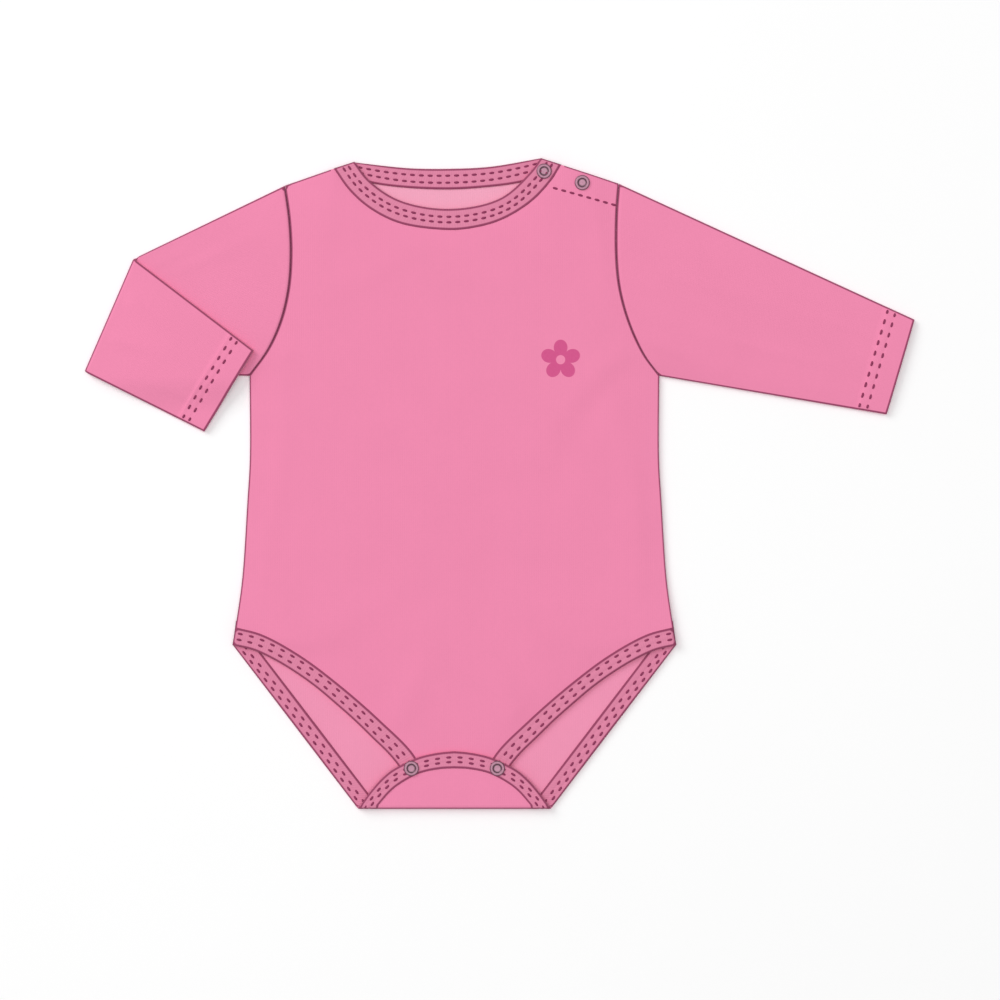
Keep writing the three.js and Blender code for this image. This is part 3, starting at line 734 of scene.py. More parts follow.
def elbow_flat(share, height, turned, arm_turn, fore_turn):
    """Flat points of the half circle at the elbow, at shares of the width and of the turn. Each
    lies between the fold and the turn lines, at 1 - sin(angle) of the way for the outer face."""
    turned = turned[:, None]
    depth = 1 - (ELBOW_RADIUS - height) * np.sin(np.pi * turned) / ELBOW_RADIUS
    line_point = mix(mix(*arm_turn, share), mix(*fore_turn, share), turned + 0 * share)
    return mix(mix(*ELBOW_FOLD, share), line_point, depth + 0 * share)


def forearm_height(point, along, thickness, height):
    """Height over the floor of a point of the forearm: it lies on the upper arm, rises towards
    the cuff, and sinks to the floor where it hangs past the underarm."""
    held = smooth_step(point[..., 1], LEFT_ARMHOLE[0][1] - 22, LEFT_ARMHOLE[0][1] - 1)
    held = np.maximum(held, 1 - 4 * along)
    on_arm = ELBOW_RADIUS + SEAM / 2 + FOREARM_RISE * np.sin(along * np.pi / 2)
    return held * on_arm + thickness - height


def folded_sleeve_sections():
    """The left sleeve's loops: flat to the elbow, round its half circle, and back across."""
    head = sleeve_head(left_armhole, -1)
    arm_turn = turn_line(head[[0, -1]])
    fore_turn = turn_line(LEFT_CUFF)
    across = np.linspace(0, 1, 61)[None]
    full = fullness(across)
    to_elbow = np.linspace(0, 1, 44)
    stations = [part[1:] for part in sleeve_stations(40)]
    length, to_cuff = sleeve_middle(fore_turn, LEFT_CUFF, stations)
    round_elbow = np.linspace(0, 1, 13)[1:]

    upper_width = sleeve_width(head, arm_turn, to_elbow)
    ends = sleeve_flat(fore_turn, LEFT_CUFF, np.tile([0.0, 1.0], (len(to_cuff), 1)), stations)
    fore_width = np.linalg.norm(ends[:, 0] - ends[:, 1], axis=1)[:, None]
    ends = elbow_flat(np.tile([0.0, 1.0], (len(round_elbow), 1)), 0, round_elbow, arm_turn, fore_turn)
    fold_width = np.linalg.norm(ends[:, 0] - ends[:, 1], axis=1)[:, None]
    cloth = hem_cloth(to_cuff, length)
    flat_cloth = np.full((len(to_elbow), 1), CLOTH)
    fold_cloth = np.full((len(round_elbow), 1), CLOTH)

    roof = SLEEVE_LIFT * (1 - to_elbow[:, None]) ** 1.5 * full
    shown = smooth_step(across, 0.55, 0.35)
    upper = sleeve_creases(to_elbow[:, None], across, UPPER_ARM_CREASES)
    roof = roof + upper * full * shown * smooth_step(to_elbow[:, None], 1, 0.8)
    floor = FOREARM_BULGE * smooth_step(to_cuff[:, None], 0, 0.4) * full
    creases = sleeve_creases(to_cuff[:, None], across, FOREARM_CREASES)
    floor = floor + creases * full * smooth_step(to_cuff[:, None], 0, 0.1)
    floor = floor - hem_press(to_cuff, length, LEFT_HEM_ROWS) * full

    loops, places_across = [], []
    for share_of_cloth in (0, 1):
        places, height = tube_loops(upper_width, flat_cloth, share_of_cloth * flat_cloth, roof, 0 * roof)
        share = places / upper_width
        along = np.broadcast_to(to_elbow[:, None], share.shape)
        flat = mix(along_path(head, share), mix(*arm_turn, share), along)
        upper_arm = flat_place(flat, height)

        no_bulge = np.zeros((len(round_elbow), across.shape[1]))
        fold_places, height = tube_loops(
            fold_width, fold_cloth, share_of_cloth * fold_cloth, no_bulge, no_bulge
        )
        share = fold_places / fold_width
        flat = elbow_flat(share, height, round_elbow, arm_turn, fore_turn)
        rising = ELBOW_RADIUS - (ELBOW_RADIUS - height) * np.cos(np.pi * round_elbow[:, None])
        elbow = flat_place(flat, rising)

        fore_places, height = tube_loops(fore_width, cloth, share_of_cloth * cloth, 0 * floor, floor)
        flat = sleeve_flat(fore_turn, LEFT_CUFF, fore_places / fore_width, stations)
        rising = forearm_height(flat, to_cuff[:, None], 2 * cloth + SEAM, height)
        forearm = flat_place(flat, rising)
        loops.append(np.vstack([upper_arm, elbow, forearm]))
        places_across.append(np.vstack([places, fold_places, fore_places]))
    upper_length = np.linalg.norm(mix(*arm_turn, 0.5) - along_path(head, np.array([0.5]))[0])
    distance = np.concatenate(
        [
            to_elbow * upper_length,
            upper_length + round_elbow * np.pi * ELBOW_RADIUS / 2,
            upper_length + np.pi * ELBOW_RADIUS / 2 + to_cuff * length,
        ]
    )
    line_turn = 1 - np.arcsin(1 - SHADE_LINE_INSET / ELBOW_RADIUS) / np.pi
    elbow = np.concatenate([0 * to_elbow, round_elbow, 1 + to_cuff])
    elbow = np.abs(elbow - line_turn) * np.pi * ELBOW_RADIUS
    return (*loops, places_across[0]), distance, elbow


def strip_profile(width, toe_height, lower_reach, grooves):
    """Round a folded strip, for each step: its distance across from the sewn edge, and its
    height. The free edge is a half circle, both faces sink by a bell at each row of stitches,
    and thin toes reach over the panel at the sewn edge, the lower one by a share of TOE."""
    steps = len(width)
    radius = BAND / 2
    turn = np.radians(np.linspace(-80, 80, 9))
    face = np.linspace(0.02, 0.94, 24) * (width - radius)
    sink = sum(GROOVE * np.exp(-(((width - face - row) / 0.8) ** 2)) for row in grooves)
    toe = BAND + (np.broadcast_to(toe_height, (steps, 1)) - BAND) * TOE_DROP
    lower_toe = TOE * (0.02 + np.broadcast_to(lower_reach, (steps, 1)) * LOWER_TOE_REACH)
    across = [
        face,
        width - radius + radius * np.cos(turn),
        face[:, ::-1],
        np.broadcast_to(TOE * TOE_REACH, (steps, len(TOE_REACH))),
        lower_toe,
    ]
    heights = [
        sink,
        np.broadcast_to(radius + radius * np.sin(turn), (steps, len(turn))),
        BAND - sink[:, ::-1],
        toe,
        np.broadcast_to(LOWER_TOE_HEIGHT, (steps, len(LOWER_TOE_HEIGHT))),
    ]
    return np.hstack(across), np.hstack(heights)


# How deep a row of stitches presses into a binding.
GROOVE = 0.17

# The toes' sections: how far out each point is, as a share of TOE, and how far down from the
# top, as a share of the upper toe's thickness, or how high in millimetres on the lower one.
TOE_REACH = np.array([-0.35, -0.75, -0.95, -1.0, -0.9, 0.02])
TOE_DROP = np.array([0.06, 0.3, 0.62, 0.86, 1.0, 1.0])
LOWER_TOE_REACH = np.array([0, -0.85, -1.0, -0.95, -0.7])
LOWER_TOE_HEIGHT = np.array([0.44, 0.43, 0.3, 0.12, 0.02])

# Painted shade lines are drawn this far in from a folded edge of cloth. A face with none is far from one.
SHADE_LINE_INSET = 0.45
NO_SHADE_LINE = 10.0

# Which of the seven points round a folded edge can be seen from above, rising from the floor.
RIM_SHOWN = np.array([0, 0, 0, 0, 1, 1, 1])


def crease_distance(flat):
    """How far a point of the back's pattern is from the painted shade line, as far in from its fold as
    the other shade lines.
    """
    line_turn = np.pi - np.arcsin(1 - SHADE_LINE_INSET / FOLD_RADIUS)
    past = (FOLD_START - flat[..., 1]) / FOLD_LENGTH * np.pi
    return np.abs(past - line_turn) * FOLD_RADIUS


def flat_place(points, height):
    """Points on the floor, at a height over it."""
    return np.concatenate([points, height[..., None]], axis=-1)


def along_edge(along):
    """Distance from the nearer end of a strip."""
    return np.minimum(along, along[-1:] - along)


def add_strip(name, sewn, free, underside, toes, grooves, material, place=flat_place):
    """A folded strip from its two edges, closed at its ends. toes are the upper toe's height
    and the share of TOE that the lower one reaches."""
    width = np.linalg.norm(free - sewn, axis=1)[:, None]
    direction = (free - sewn) / width
    across, height = strip_profile(width, *toes, grooves)
    flat = sewn[:, None] + across[..., None] * direction[:, None]
    lengths = np.linalg.norm(np.diff(sewn + free, axis=0), axis=1) / 2
    along = np.broadcast_to(np.pad(np.cumsum(lengths), (1, 0))[:, None], across.shape)
    pucker = 0.06 * np.sin(along / 6.9 * 2 * np.pi) * (height > BAND * 0.7)
    points = place(flat, np.asarray(underside) + height + pucker)
    # Painted shade lines along the sewn edge, along the free edge and the ends where they can be seen
    # from above, and round the crotch fold.
    faces_up = place(flat, height + 0.1)[..., 2] > place(flat, height)[..., 2]
    hidden = np.where(faces_up, height, BAND - height) < BAND / 2 + 0.3
    rim = np.minimum(np.abs(width - across - SHADE_LINE_INSET), along_edge(along))
    line = np.minimum(np.abs(across + 0.1), rim + NO_SHADE_LINE * hidden)
    if place is fold_over:
        line = np.minimum(line, crease_distance(flat))
    steps, size = points.shape[:2]
    first = np.arange(size)[None]
    faces = [grid_quads(steps, size, closed=True), first[:, ::-1], first + (steps - 1) * size]
    uv = np.stack([along, across], axis=-1)
    return add_piece(name, points, faces, material, uv=uv, edge=line)


def stitch_marks(path, up, pitch, length, first=0.5):
    """Both ends of each stitch of a row, and the way up from the cloth there. The first and last
    ones' middles are a share of the pitch from the row's ends."""
    reach = np.linalg.norm(np.diff(path, axis=0), axis=1).sum()
    count = round(reach / pitch)
    middles = np.linspace(first, count - first, count + round(1 - 2 * first)) * reach / count
    ends = [along_path(path, (middles + side * length / 2) / reach) for side in (-1, 1)]
    steps = np.pad(np.cumsum(np.linalg.norm(np.diff(path, axis=0), axis=1)), (1, 0))
    way = np.stack([np.interp(middles, steps, column) for column in up.T], axis=-1)
    return ends[0], ends[1], way / np.linalg.norm(way, axis=1)[:, None]


def add_stitches(name, rows, radius, material):
    """Stitches as one mesh of short round threads. Each bows up out of the cloth by a parabola
    and dips into it at its ends, where it is thinner."""
    starts, ends, ways = (np.vstack(part) for part in zip(*rows))
    share = np.linspace(0, 1, 8)
    angle = np.linspace(0, 2 * np.pi, 8, endpoint=False)
    bow = 1 - (2 * share - 1) ** 2
    thick = radius * (0.45 + 0.55 * (1 - np.abs(2 * share - 1) ** 4))
    centre = mix(starts[:, None], ends[:, None], share[None])
    centre = centre + ways[:, None] * (radius * (0.7 * bow - 0.6))[None, :, None]
    along = (ends - starts) / np.linalg.norm(ends - starts, axis=1)[:, None]
    aside = np.cross(along, ways)
    ring = (
        np.cos(angle)[None, None, :, None] * aside[:, None, None]
        + np.sin(angle)[None, None, :, None] * ways[:, None, None]
    )
    points = centre[:, :, None] + thick[None, :, None, None] * ring
    count, sections, size = points.shape[:3]
    one = grid_quads(sections, size, closed=True)
    offsets = np.arange(count)[:, None, None] * sections * size
    sides = (one[None] + offsets).reshape(-1, 4)
    caps = np.arange(size)[None, None] + offsets
    last = (sections - 1) * size
    faces = [sides, caps[:, :, ::-1].reshape(-1, size), (caps + last).reshape(-1, size)]
    return add_piece(name, points, faces, material)


class Term:
    """A shader socket. Arithmetic on it adds Math nodes."""

    def __init__(self, finish, socket):
        self.finish = finish
        self.socket = socket

    def math(self, operation, *others):
        inputs = dict(enumerate((self, *others)))
        return self.finish.node("ShaderNodeMath", {"operation": operation}, inputs)

    def __add__(self, other):
        return self.math("ADD", other)

    def __radd__(self, other):
        return self.math("ADD", other)

    def __sub__(self, other):
        return self.math("SUBTRACT", other)

    def __rsub__(self, other):
        return (self * -1).math("ADD", other)

    def __mul__(self, other):
        return self.math("MULTIPLY", other)

    def __rmul__(self, other):
        return self.math("MULTIPLY", other)

    def __truediv__(self, other):
        return self.math("DIVIDE", other)

    def __abs__(self):
        return self.math("ABSOLUTE")

    def clamped(self):
        return self.math("MAXIMUM", 0.0).math("MINIMUM", 1.0)


class Finish:
    """A material with one Principled shader, and a method that adds any other node."""

    def __init__(self, name, roughness, sheen=0.0, specular=0.5, metallic=0.0):
        self.material = bpy.data.materials.new(name)
        self.material.use_nodes = True
        self.tree = self.material.node_tree
        self.tree.nodes.clear()
        self.shader = self.tree.nodes.new("ShaderNodeBsdfPrincipled")
        output = self.tree.nodes.new("ShaderNodeOutputMaterial")
        self.tree.links.new(self.shader.outputs[0], output.inputs["Surface"])
        sockets = self.shader.inputs
        sockets["Roughness"].default_value = roughness
        sockets["Sheen Weight"].default_value = sheen
        sockets["Sheen Roughness"].default_value = 0.45
        sockets["Specular IOR Level"].default_value = specular
        sockets["Metallic"].default_value = metallic

    def node(self, kind, settings=None, inputs=None, output=0):
        made = self.tree.nodes.new(kind)
        for setting, value in (settings or {}).items():
            setattr(made, setting, value)
        for socket, value in (inputs or {}).items():
            self.put(made.inputs[socket], value)
        return Term(self, made.outputs[output])

    def put(self, socket, value):
        if isinstance(value, Term):
            self.tree.links.new(value.socket, socket)
        else:
            socket.default_value = value

    def set(self, **values):
        for socket, value in values.items():
            self.put(self.shader.inputs[socket.replace("_", " ")], value)

    def split(self, vector):
        """The x, y and z of a vector."""
        parts = self.node("ShaderNodeSeparateXYZ", inputs={0: vector}).socket.node.outputs
        return [Term(self, part) for part in parts]

    def blend(self, share, first, second):
        """first where share is 0 and second where it is 1, as colours."""
        settings = {"data_type": "RGBA"}
        return self.node("ShaderNodeMix", settings, {0: share, 6: first, 7: second}, output=2)

    def noise(self, scale, detail=3.0, vector=None):
        """Noise from 0 to 1 with scale waves a metre."""
        where = vector or self.node("ShaderNodeTexCoord", output="Object")
        return self.node("ShaderNodeTexNoise", inputs={"Vector": where, "Scale": scale, "Detail": detail})

    def attribute(self, name):
        return self.node("ShaderNodeAttribute", {"attribute_name": name}, output="Fac")

    def bump(self, height, distance, strength):
        inputs = {"Height": height, "Distance": distance, "Strength": strength}
        return self.node("ShaderNodeBump", inputs=inputs)


def darker(colour, share):
    """The colour with its light cut to a share."""
    return (*[part * share for part in colour[:3]], 1.0)


def jersey_knit(finish, cloth, wale, course):
    """Height of a plain knit: rounded columns wale wide, crossed by loops course long that lean
    back from the middle of each column, which makes the rows of V shapes."""
    x, y, _ = finish.split(cloth)
    from_middle = abs((x / wale).math("FRACT") - 0.5) * 2
    column = 1 - from_middle * from_middle
    loops = ((y / course + from_middle * 0.6) * (2 * np.pi)).math("SINE") * 0.5 + 0.5
    return column * 0.6 + loops * 0.4


def rib_knit(finish, cloth, wale, course):
    """Height of a one by one rib: rounded ridges across the strip, with small loops on them."""
    x, y, _ = finish.split(cloth)
    ridge = (x / wale * (2 * np.pi)).math("SINE") * 0.5 + 0.5
    loops = (y / course * (2 * np.pi)).math("SINE") * 0.5 + 0.5
    return ridge * 0.75 + loops * ridge * 0.25


def flower_mask(finish, centre, radius, petals=5):
    """1 inside a flower and 0 outside: its outline's radius goes up and down with the cosine of
    the angle, once for each petal, round an open eye."""
    x, y, _ = finish.split(finish.node("ShaderNodeTexCoord", output="Object"))
    to_x, to_y = x - centre[0], y - centre[1]
    distance = (to_x * to_x + to_y * to_y).math("SQRT")
    angle = to_y.math("ARCTAN2", to_x) - np.pi / 2
    lobe = abs((angle * (petals / 2)).math("COSINE"))
    outline = (lobe.math("POWER", 0.7) * 0.52 + 0.48) * radius
    soft = 0.00025
    petal = ((outline - distance) / soft + 0.5).clamped()
    eye = ((distance - radius * 0.23) / soft + 0.5).clamped()
    return petal * eye


def cloth_finish(name, outside, inside, seam_shade_colour, knit, wale, course, print_colour=None):
    """Cotton knit: a bump of its loops, uneven dye, fuzz, painted shade in the hollows of its loops, and
    a painted shade line along its seams, folded edges and binding edges.
    """
    finish = Finish(name, roughness=0.9, sheen=0.18, specular=0.22)
    cloth = finish.node("ShaderNodeUVMap", {"uv_map": "Cloth"})
    height = knit(finish, cloth, wale, course)
    fuzz = finish.noise(2600.0, 4.0)
    dye = finish.noise(38.0, 3.0)
    heather = finish.noise(900.0, 2.0)
    # Uneven dye and heather are the cloth's own tone; the knit's height adds painted shade, darker where
    # its loops sink.
    shade = 0.94 + dye * 0.05 + heather * 0.05 + height * 0.035
    colour = finish.blend(finish.attribute("inside").clamped(), outside, inside)
    grey = finish.node("ShaderNodeCombineXYZ", inputs={0: shade, 1: shade, 2: shade})
    colour = finish.node("ShaderNodeVectorMath", {"operation": "MULTIPLY"}, {0: colour, 1: grey})
    rough = 0.82 + fuzz * 0.14
    if print_colour is not None:
        centre = ((PRINT_CENTRE[0] + BODY_X) * MM, PRINT_CENTRE[1] * MM)
        mask = flower_mask(finish, centre, PRINT_RADIUS * MM)
        worn = mask * (0.9 + heather * 0.14).clamped()
        colour = finish.blend(worn, colour, print_colour)
        rough = rough - mask * 0.16
    # Painted shade: the seam colour along seams, folded edges and binding edges, where a shadow lies in
    # the seam or round the fold; full within half the line's width, fading out at its edge.
    from_shade_line = (finish.attribute("edge") / (SEAM_SHADE_WIDTH * MM)).clamped()
    seam = ((1 - from_shade_line) * 2).clamped() * 0.88
    colour = finish.blend(seam, colour, seam_shade_colour)
    normal = finish.bump(height * 0.8 + fuzz * 0.35, 0.00022, 0.55)
    finish.set(Base_Color=colour, Roughness=rough, Normal=normal)
    return finish.material


def thread_finish(name, colour):
    """Twisted sewing thread: fine noise, in colour and bump."""
    finish = Finish(name, roughness=0.6, sheen=0.1, specular=0.3)
    twist = finish.noise(4200.0, 2.0)
    fibre = finish.noise(9000.0, 2.0)
    shade = finish.blend(twist, darker(colour, 0.75), darker(colour, 1.25))
    finish.set(Base_Color=shade, Roughness=0.5 + fibre * 0.2, Normal=finish.bump(twist, 0.0001, 0.5))
    return finish.material


def snap_finish(name, colour):
    """Lacquered metal: a faint orange peel, small rubbed patches where the lacquer is thin, and painted
    shade in its crevices.
    """
    finish = Finish(name, roughness=0.35, specular=0.5)
    peel = finish.noise(1400.0, 2.0)
    rub = (finish.noise(700.0, 5.0) * 3.0 - 1.6).clamped()
    shade = finish.blend(rub, colour, darker(colour, 1.35))
    # Painted shade in the crevices: darker at the foot of the rim and down the wall of the eye.
    shade = finish.blend(finish.attribute("inside") * 0.9, shade, darker(colour, 0.3))
    finish.set(
        Base_Color=shade,
        Roughness=0.28 + peel * 0.14,
        Metallic=0.35 + rub * 0.35,
        Normal=finish.bump(peel, 0.00005, 0.3),
    )
    return finish.material


def floor_finish(name, colour):
    """A pale painted board: very faint mottling and a fine bump."""
    finish = Finish(name, roughness=0.7, specular=0.2)
    mottle = finish.noise(6.0, 4.0)
    grain = finish.noise(700.0, 3.0)
    shade = finish.blend(mottle, darker(colour, 0.985), colour)
    finish.set(Base_Color=shade, Roughness=0.66 + grain * 0.08, Normal=finish.bump(grain, 0.00005, 0.2))
    return finish.material


PRINT_CENTRE = (63.6, 74.1)
PRINT_RADIUS = 12.0
# Width of the painted shade line along seams and folded edges, in millimetres.
SEAM_SHADE_WIDTH = 1.05


def colour_property(name, description, srgb):
    """A colour property whose default is given as it looks on a screen, from 0 to 255."""
    linear = [((part / 255 + 0.055) / 1.055) ** 2.4 for part in srgb]
    return bpy.props.FloatVectorProperty(
        name=name,
        description=description,
        subtype="COLOR",
        size=4,
        min=0,
        max=1,
        default=(*linear, 1.0),
    )


def length_property(name, description, default):
    """A length property, its default given in millimetres."""
    return bpy.props.FloatProperty(
        name=name, description=description, unit="LENGTH", precision=5, default=default * MM
    )


class BodysuitSizes(bpy.types.PropertyGroup):
    """Sizes of the knit, the thread and the cloth's edges."""

    wale: length_property("Wale", "Width of one column of jersey loops", 1.1)
    course: length_property("Course", "Height of one row of jersey loops", 0.95)
    rib: length_property("Rib", "Width of one rib of the bindings", 1.5)
    thread: length_property("Thread", "Half the thickness of the sewing thread", 0.7)
    stitch: length_property("Stitch", "Length of one stitch", 3.4)
    neck_pitch: length_property("Neck pitch", "From stitch to stitch at the neck and shoulder", 5.3)
    band_pitch: length_property("Band pitch", "From stitch to stitch at the legs and cuffs", 6.8)
    rim: length_property("Rim", "Rounding of a cut edge of cloth", 0.32)


class BodysuitColours(bpy.types.PropertyGroup):
    """Colours of the cloth, print, thread, snaps and floor."""

    outside: colour_property("Outside", "Jersey, right side", (238, 137, 174))
    inside: colour_property("Inside", "Jersey, wrong side", (241, 164, 190))
    rib: colour_property("Binding", "Rib of the bindings", (221, 132, 163))
    motif: colour_property("Motif", "Print on the chest", (210, 82, 137))
    # Seam: colour of the painted shade lines along seams, folded edges and binding edges.
    seam: colour_property("Seam", "Lines along seams and folded edges", (136, 50, 86))
    thread: colour_property("Thread", "Sewing thread", (140, 46, 88))
    snap: colour_property("Snap", "Lacquer of the snaps", (166, 118, 138))
    floor: colour_property("Floor", "Surface under the bodysuit", (255, 255, 255))


def jersey(context, title, print_colour=None):
    """The jersey's material, made once for each title."""
    colours, sizes = context.scene.bodysuit_colours, context.scene.bodysuit_sizes
    made = bpy.data.materials.get(title)
    return made or cloth_finish(
        title,
        tuple(colours.outside),
        tuple(colours.inside),
        tuple(colours.seam),
        jersey_knit,
        sizes.wale,
        sizes.course,
        print_colour,
    )


def rib(context):
    """The bindings' material, made once."""
    colours, sizes = context.scene.bodysuit_colours, context.scene.bodysuit_sizes
    return bpy.data.materials.get("Cotton rib") or cloth_finish(
        "Cotton rib",
        tuple(colours.rib),
        tuple(colours.rib),
        tuple(colours.seam),
        rib_knit,
        sizes.rib,
        sizes.course,
    )


def front_grids():
    """The front's pattern, and its upper and lower faces with their soft creases."""
    flat, underside = front_pattern()
    fade = smooth_step(edge_distance(flat), 0, 16) * smooth_step(flat[..., 1], -166, -142)
    height = underside + panel_creases(flat, FRONT_CREASES) * fade
    lower = flat_place(flat, height)
    return flat, lower + [0, 0, CLOTH], lower


def front_top(points):
    """The front's upper face under flat points, from the nearest point of its grid."""
    _, upper, _ = front_grids()
    upper = upper.reshape(-1, 3)
    away = np.linalg.norm(points[:, None] - upper[None, :, :2], axis=2)
    return flat_place(points, upper[away.argmin(axis=1), 2])


def panel_shade_line(flat, seam_end):
    """How far a panel's points are from its edges, for its painted shade line, without those that a
    binding covers: the neck, and the legs and the flap, which are lower than the side seam's end."""
    x, y = flat[..., 0], flat[..., 1]
    neck = (y > FRONT_NECK[4][1] - 9) & (x > FRONT_NECK[0][0] - 1) & (x < FRONT_NECK[-1][0] + 1)
    return edge_distance(flat) + NO_SHADE_LINE * (neck | (y < seam_end))


def back_grids():
    """The back's pattern, and its inner and outer faces. Past the fold the flap lies halfway up
    its thicker binding."""
    flat = back_pattern()
    proud = BAND_PROUD * smooth_step(FOLD_START - flat[..., 1], 0, FOLD_LENGTH)
    fade = smooth_step(edge_distance(flat), 0, 16) * smooth_step(flat[..., 1], -188, -160)
    lift = panel_creases(flat, BACK_CREASES) * fade
    inner = fold_over(flat, CLOTH + lift)
    outer = fold_over(flat, lift)
    rise = proud[..., None] * [0, 0, -1]
    return flat, inner + rise, outer + rise


def grid_area(grid):
    """Area of a flat grid, as its faces' diagonals' cross products."""
    first = grid[1:, 1:] - grid[:-1, :-1]
    second = grid[1:, :-1] - grid[:-1, 1:]
    return np.abs(first[..., 0] * second[..., 1] - first[..., 1] * second[..., 0]).sum() / 2


def declare_cloth(length, area):
    """Takes the piece's length in millimetres and turns it to metres, and keeps nothing. area, in square
    millimetres, is not used.
    """
    length * MM


def declare_panel(pattern):
    """The cut of a panel is its flat pattern."""
    size = np.ptp(pattern.reshape(-1, 2), axis=0)
    declare_cloth(size[1], grid_area(pattern))


def declare_sleeve(sections, along):
    """The cut of a sleeve, all round it: twice its flattened width at each station."""
    round_it = 2 * np.ptp(sections[2], axis=1)
    area = ((round_it[1:] + round_it[:-1]) / 2 * np.diff(along)).sum()
    declare_cloth(along[-1], area)


def declare_strip(sewn, free):
    """The cut of a strip that shows: its width with its toe, and the length of its middle."""
    lengths = np.linalg.norm(np.diff(sewn + free, axis=0), axis=1) / 2
    widths = np.linalg.norm(free - sewn, axis=1) + TOE
    area = ((widths[1:] + widths[:-1]) / 2 * lengths).sum()
    declare_cloth(lengths.sum(), area)


def strip_rows(edges, underside, rows_from_free, place, pitch, length):
    """Rows of stitches on both faces of a strip, each so far from its free edge."""
    sewn, free = edges
    direction = (free - sewn) / np.linalg.norm(free - sewn, axis=1)[:, None]
    underside = np.broadcast_to(underside, len(sewn))
    rows = []
    for from_free in rows_from_free:
        path = free - direction * np.reshape(from_free, (-1, 1))
        low = place(path, underside + GROOVE)
        high = place(path, underside + BAND - GROOVE)
        rows.append(stitch_marks(high, high - low, pitch, length))
        rows.append(stitch_marks(low, low - high, pitch, length))
    return rows


def front_band_rows():
    """How far the two rows of stitches are from a front leg binding's free edge, even steps
    from the side to the crotch."""
    share = np.linspace(0, 1, FRONT_LEG_ROWS + 1)[:, None]
    return [side * (1 - share) + crotch * share for side, crotch in FRONT_LEG_ROWS_IN]


def back_band_rows():
    """How far the two rows of stitches are from the back binding's free edge: closer together
    round the flap than along the legs."""
    past = smooth_step(FOLD_START - back_sewn[:, 1], 0, FOLD_LENGTH)[:, None]
    return [
        leg * (1 - past) + flap * past for leg, flap in zip(BACK_LEG_ROWS_IN, FLAP_ROWS_IN)
    ]


def back_band_toes():
    """The back binding's toes. Along the legs its panel lies on the floor, under the upper toe
    alone; on the flap the panel is halfway up the binding, between both."""
    past = smooth_step(FOLD_START - back_sewn[:, 1], 0, FOLD_LENGTH)[:, None]
    return FLOOR_TOES[0] * (1 - past) + MIDDLE_TOES[0] * past, past


# A binding's upper toe's height and lower toe's reach, where its panel lies on the floor and
# where it is halfway up the binding.
FLOOR_TOES = (CLOTH + 0.06, 0)
MIDDLE_TOES = (CLOTH + BAND_PROUD + 0.06, 1)

NECK_STEPS = 26 * FINE
UNDERLAP_STEPS = 4 * FINE


def neck_edges(sewn, free):
    """Sewn and free edge of a neck binding, each at even steps."""
    return spline(sewn, NECK_STEPS), spline(free, NECK_STEPS)


def underlap_edges():
    """The strip under the shoulder opening: its inner and outer edge."""
    edge = line(FRONT_NECK[-1], RIGHT_ARMHOLE[-1], UNDERLAP_STEPS * 4)
    edge = along_path(edge, np.linspace(0.07, 0.68, UNDERLAP_STEPS + 1))
    return shifted(edge, -UNDERLAP_WIDTH), shifted(edge, -SEAM)


def add_snap(name, x, y, seat, material):
    """A ring snap: its rim's profile turned round its middle, with a sunken eye."""
    profile = np.array(SNAP_PROFILE)
    turn = np.linspace(0, 2 * np.pi, SNAP_SIDES, endpoint=False)
    radius, height = profile[:, 0, None], profile[:, 1, None]
    points = np.stack(
        [x + radius * np.cos(turn), y + radius * np.sin(turn), seat + height + 0 * turn], axis=-1
    )
    rings = len(profile)
    first = np.arange(SNAP_SIDES)[None]
    last = first + (rings - 1) * SNAP_SIDES
    faces = [grid_quads(rings, SNAP_SIDES, closed=True), first[:, ::-1], last]
    # Painted shade, darkest in the snap's crevices.
    dark = np.broadcast_to(profile[:, 2, None], points.shape[:2])
    return add_piece(name, points, faces, material, inside=dark)


# Half a ring snap's section, as rows of (radius, height, how much painted shade), from under
# its rim to its eye.
SNAP_PROFILE = [
    (4.2, 0, 1),
    (4.45, 0.12, 1),
    (4.5, 0.3, 1),
    (4.48, 0.55, 1),
    (4.32, 0.8, 0.9),
    (4.05, 0.95, 0.4),
    (3.7, 1.0, 0.1),
    (3.2, 1.0, 0.1),
    (2.85, 0.94, 0.5),
    (2.6, 0.8, 1),
    (2.42, 0.58, 1),
    (2.25, 0.42, 1),
    (2.0, 0.36, 0.7),
    (1.5, 0.35, 0),
    (0.95, 0.32, 0),
    (0.5, 0.3, 0),
]
SNAP_SIDES = 48
SNAP_CLEARANCE = 0.05

# The snaps, as rows of (name, node, x, y, what it sits on).
SNAPS = [
    ("Snap_crotch_left", "crotch_snap_left", -25.7, -170.4, "flap"),
    ("Snap_crotch_right", "crotch_snap_right", 25.7, -170.4, "flap"),
    ("Snap_shoulder_neck", "shoulder_snap_neck", 53.7, 186.9, "neck"),
    ("Snap_shoulder_sleeve", "shoulder_snap_sleeve", 76.5, 180, "front"),
]

# The row of stitches beside the shoulder opening.
PLACKET_ROW = ((57.9, 177.3), (97.8, 166.2))


def cuff_rows(sections, along, rows_in, pitch, length):
    """Two rows of stitches round a cuff, on both of its faces."""
    outer, inner, _ = sections
    rows = []
    for from_cuff in rows_in:
        station = np.abs(along[-1] - along - from_cuff).argmin()
        for side in (slice(0, 61), slice(68, 129)):
            path, up = outer[station, side], (outer - inner)[station, side]
            rows.append(stitch_marks(path, up, pitch, length, first=0.15))
    return rows


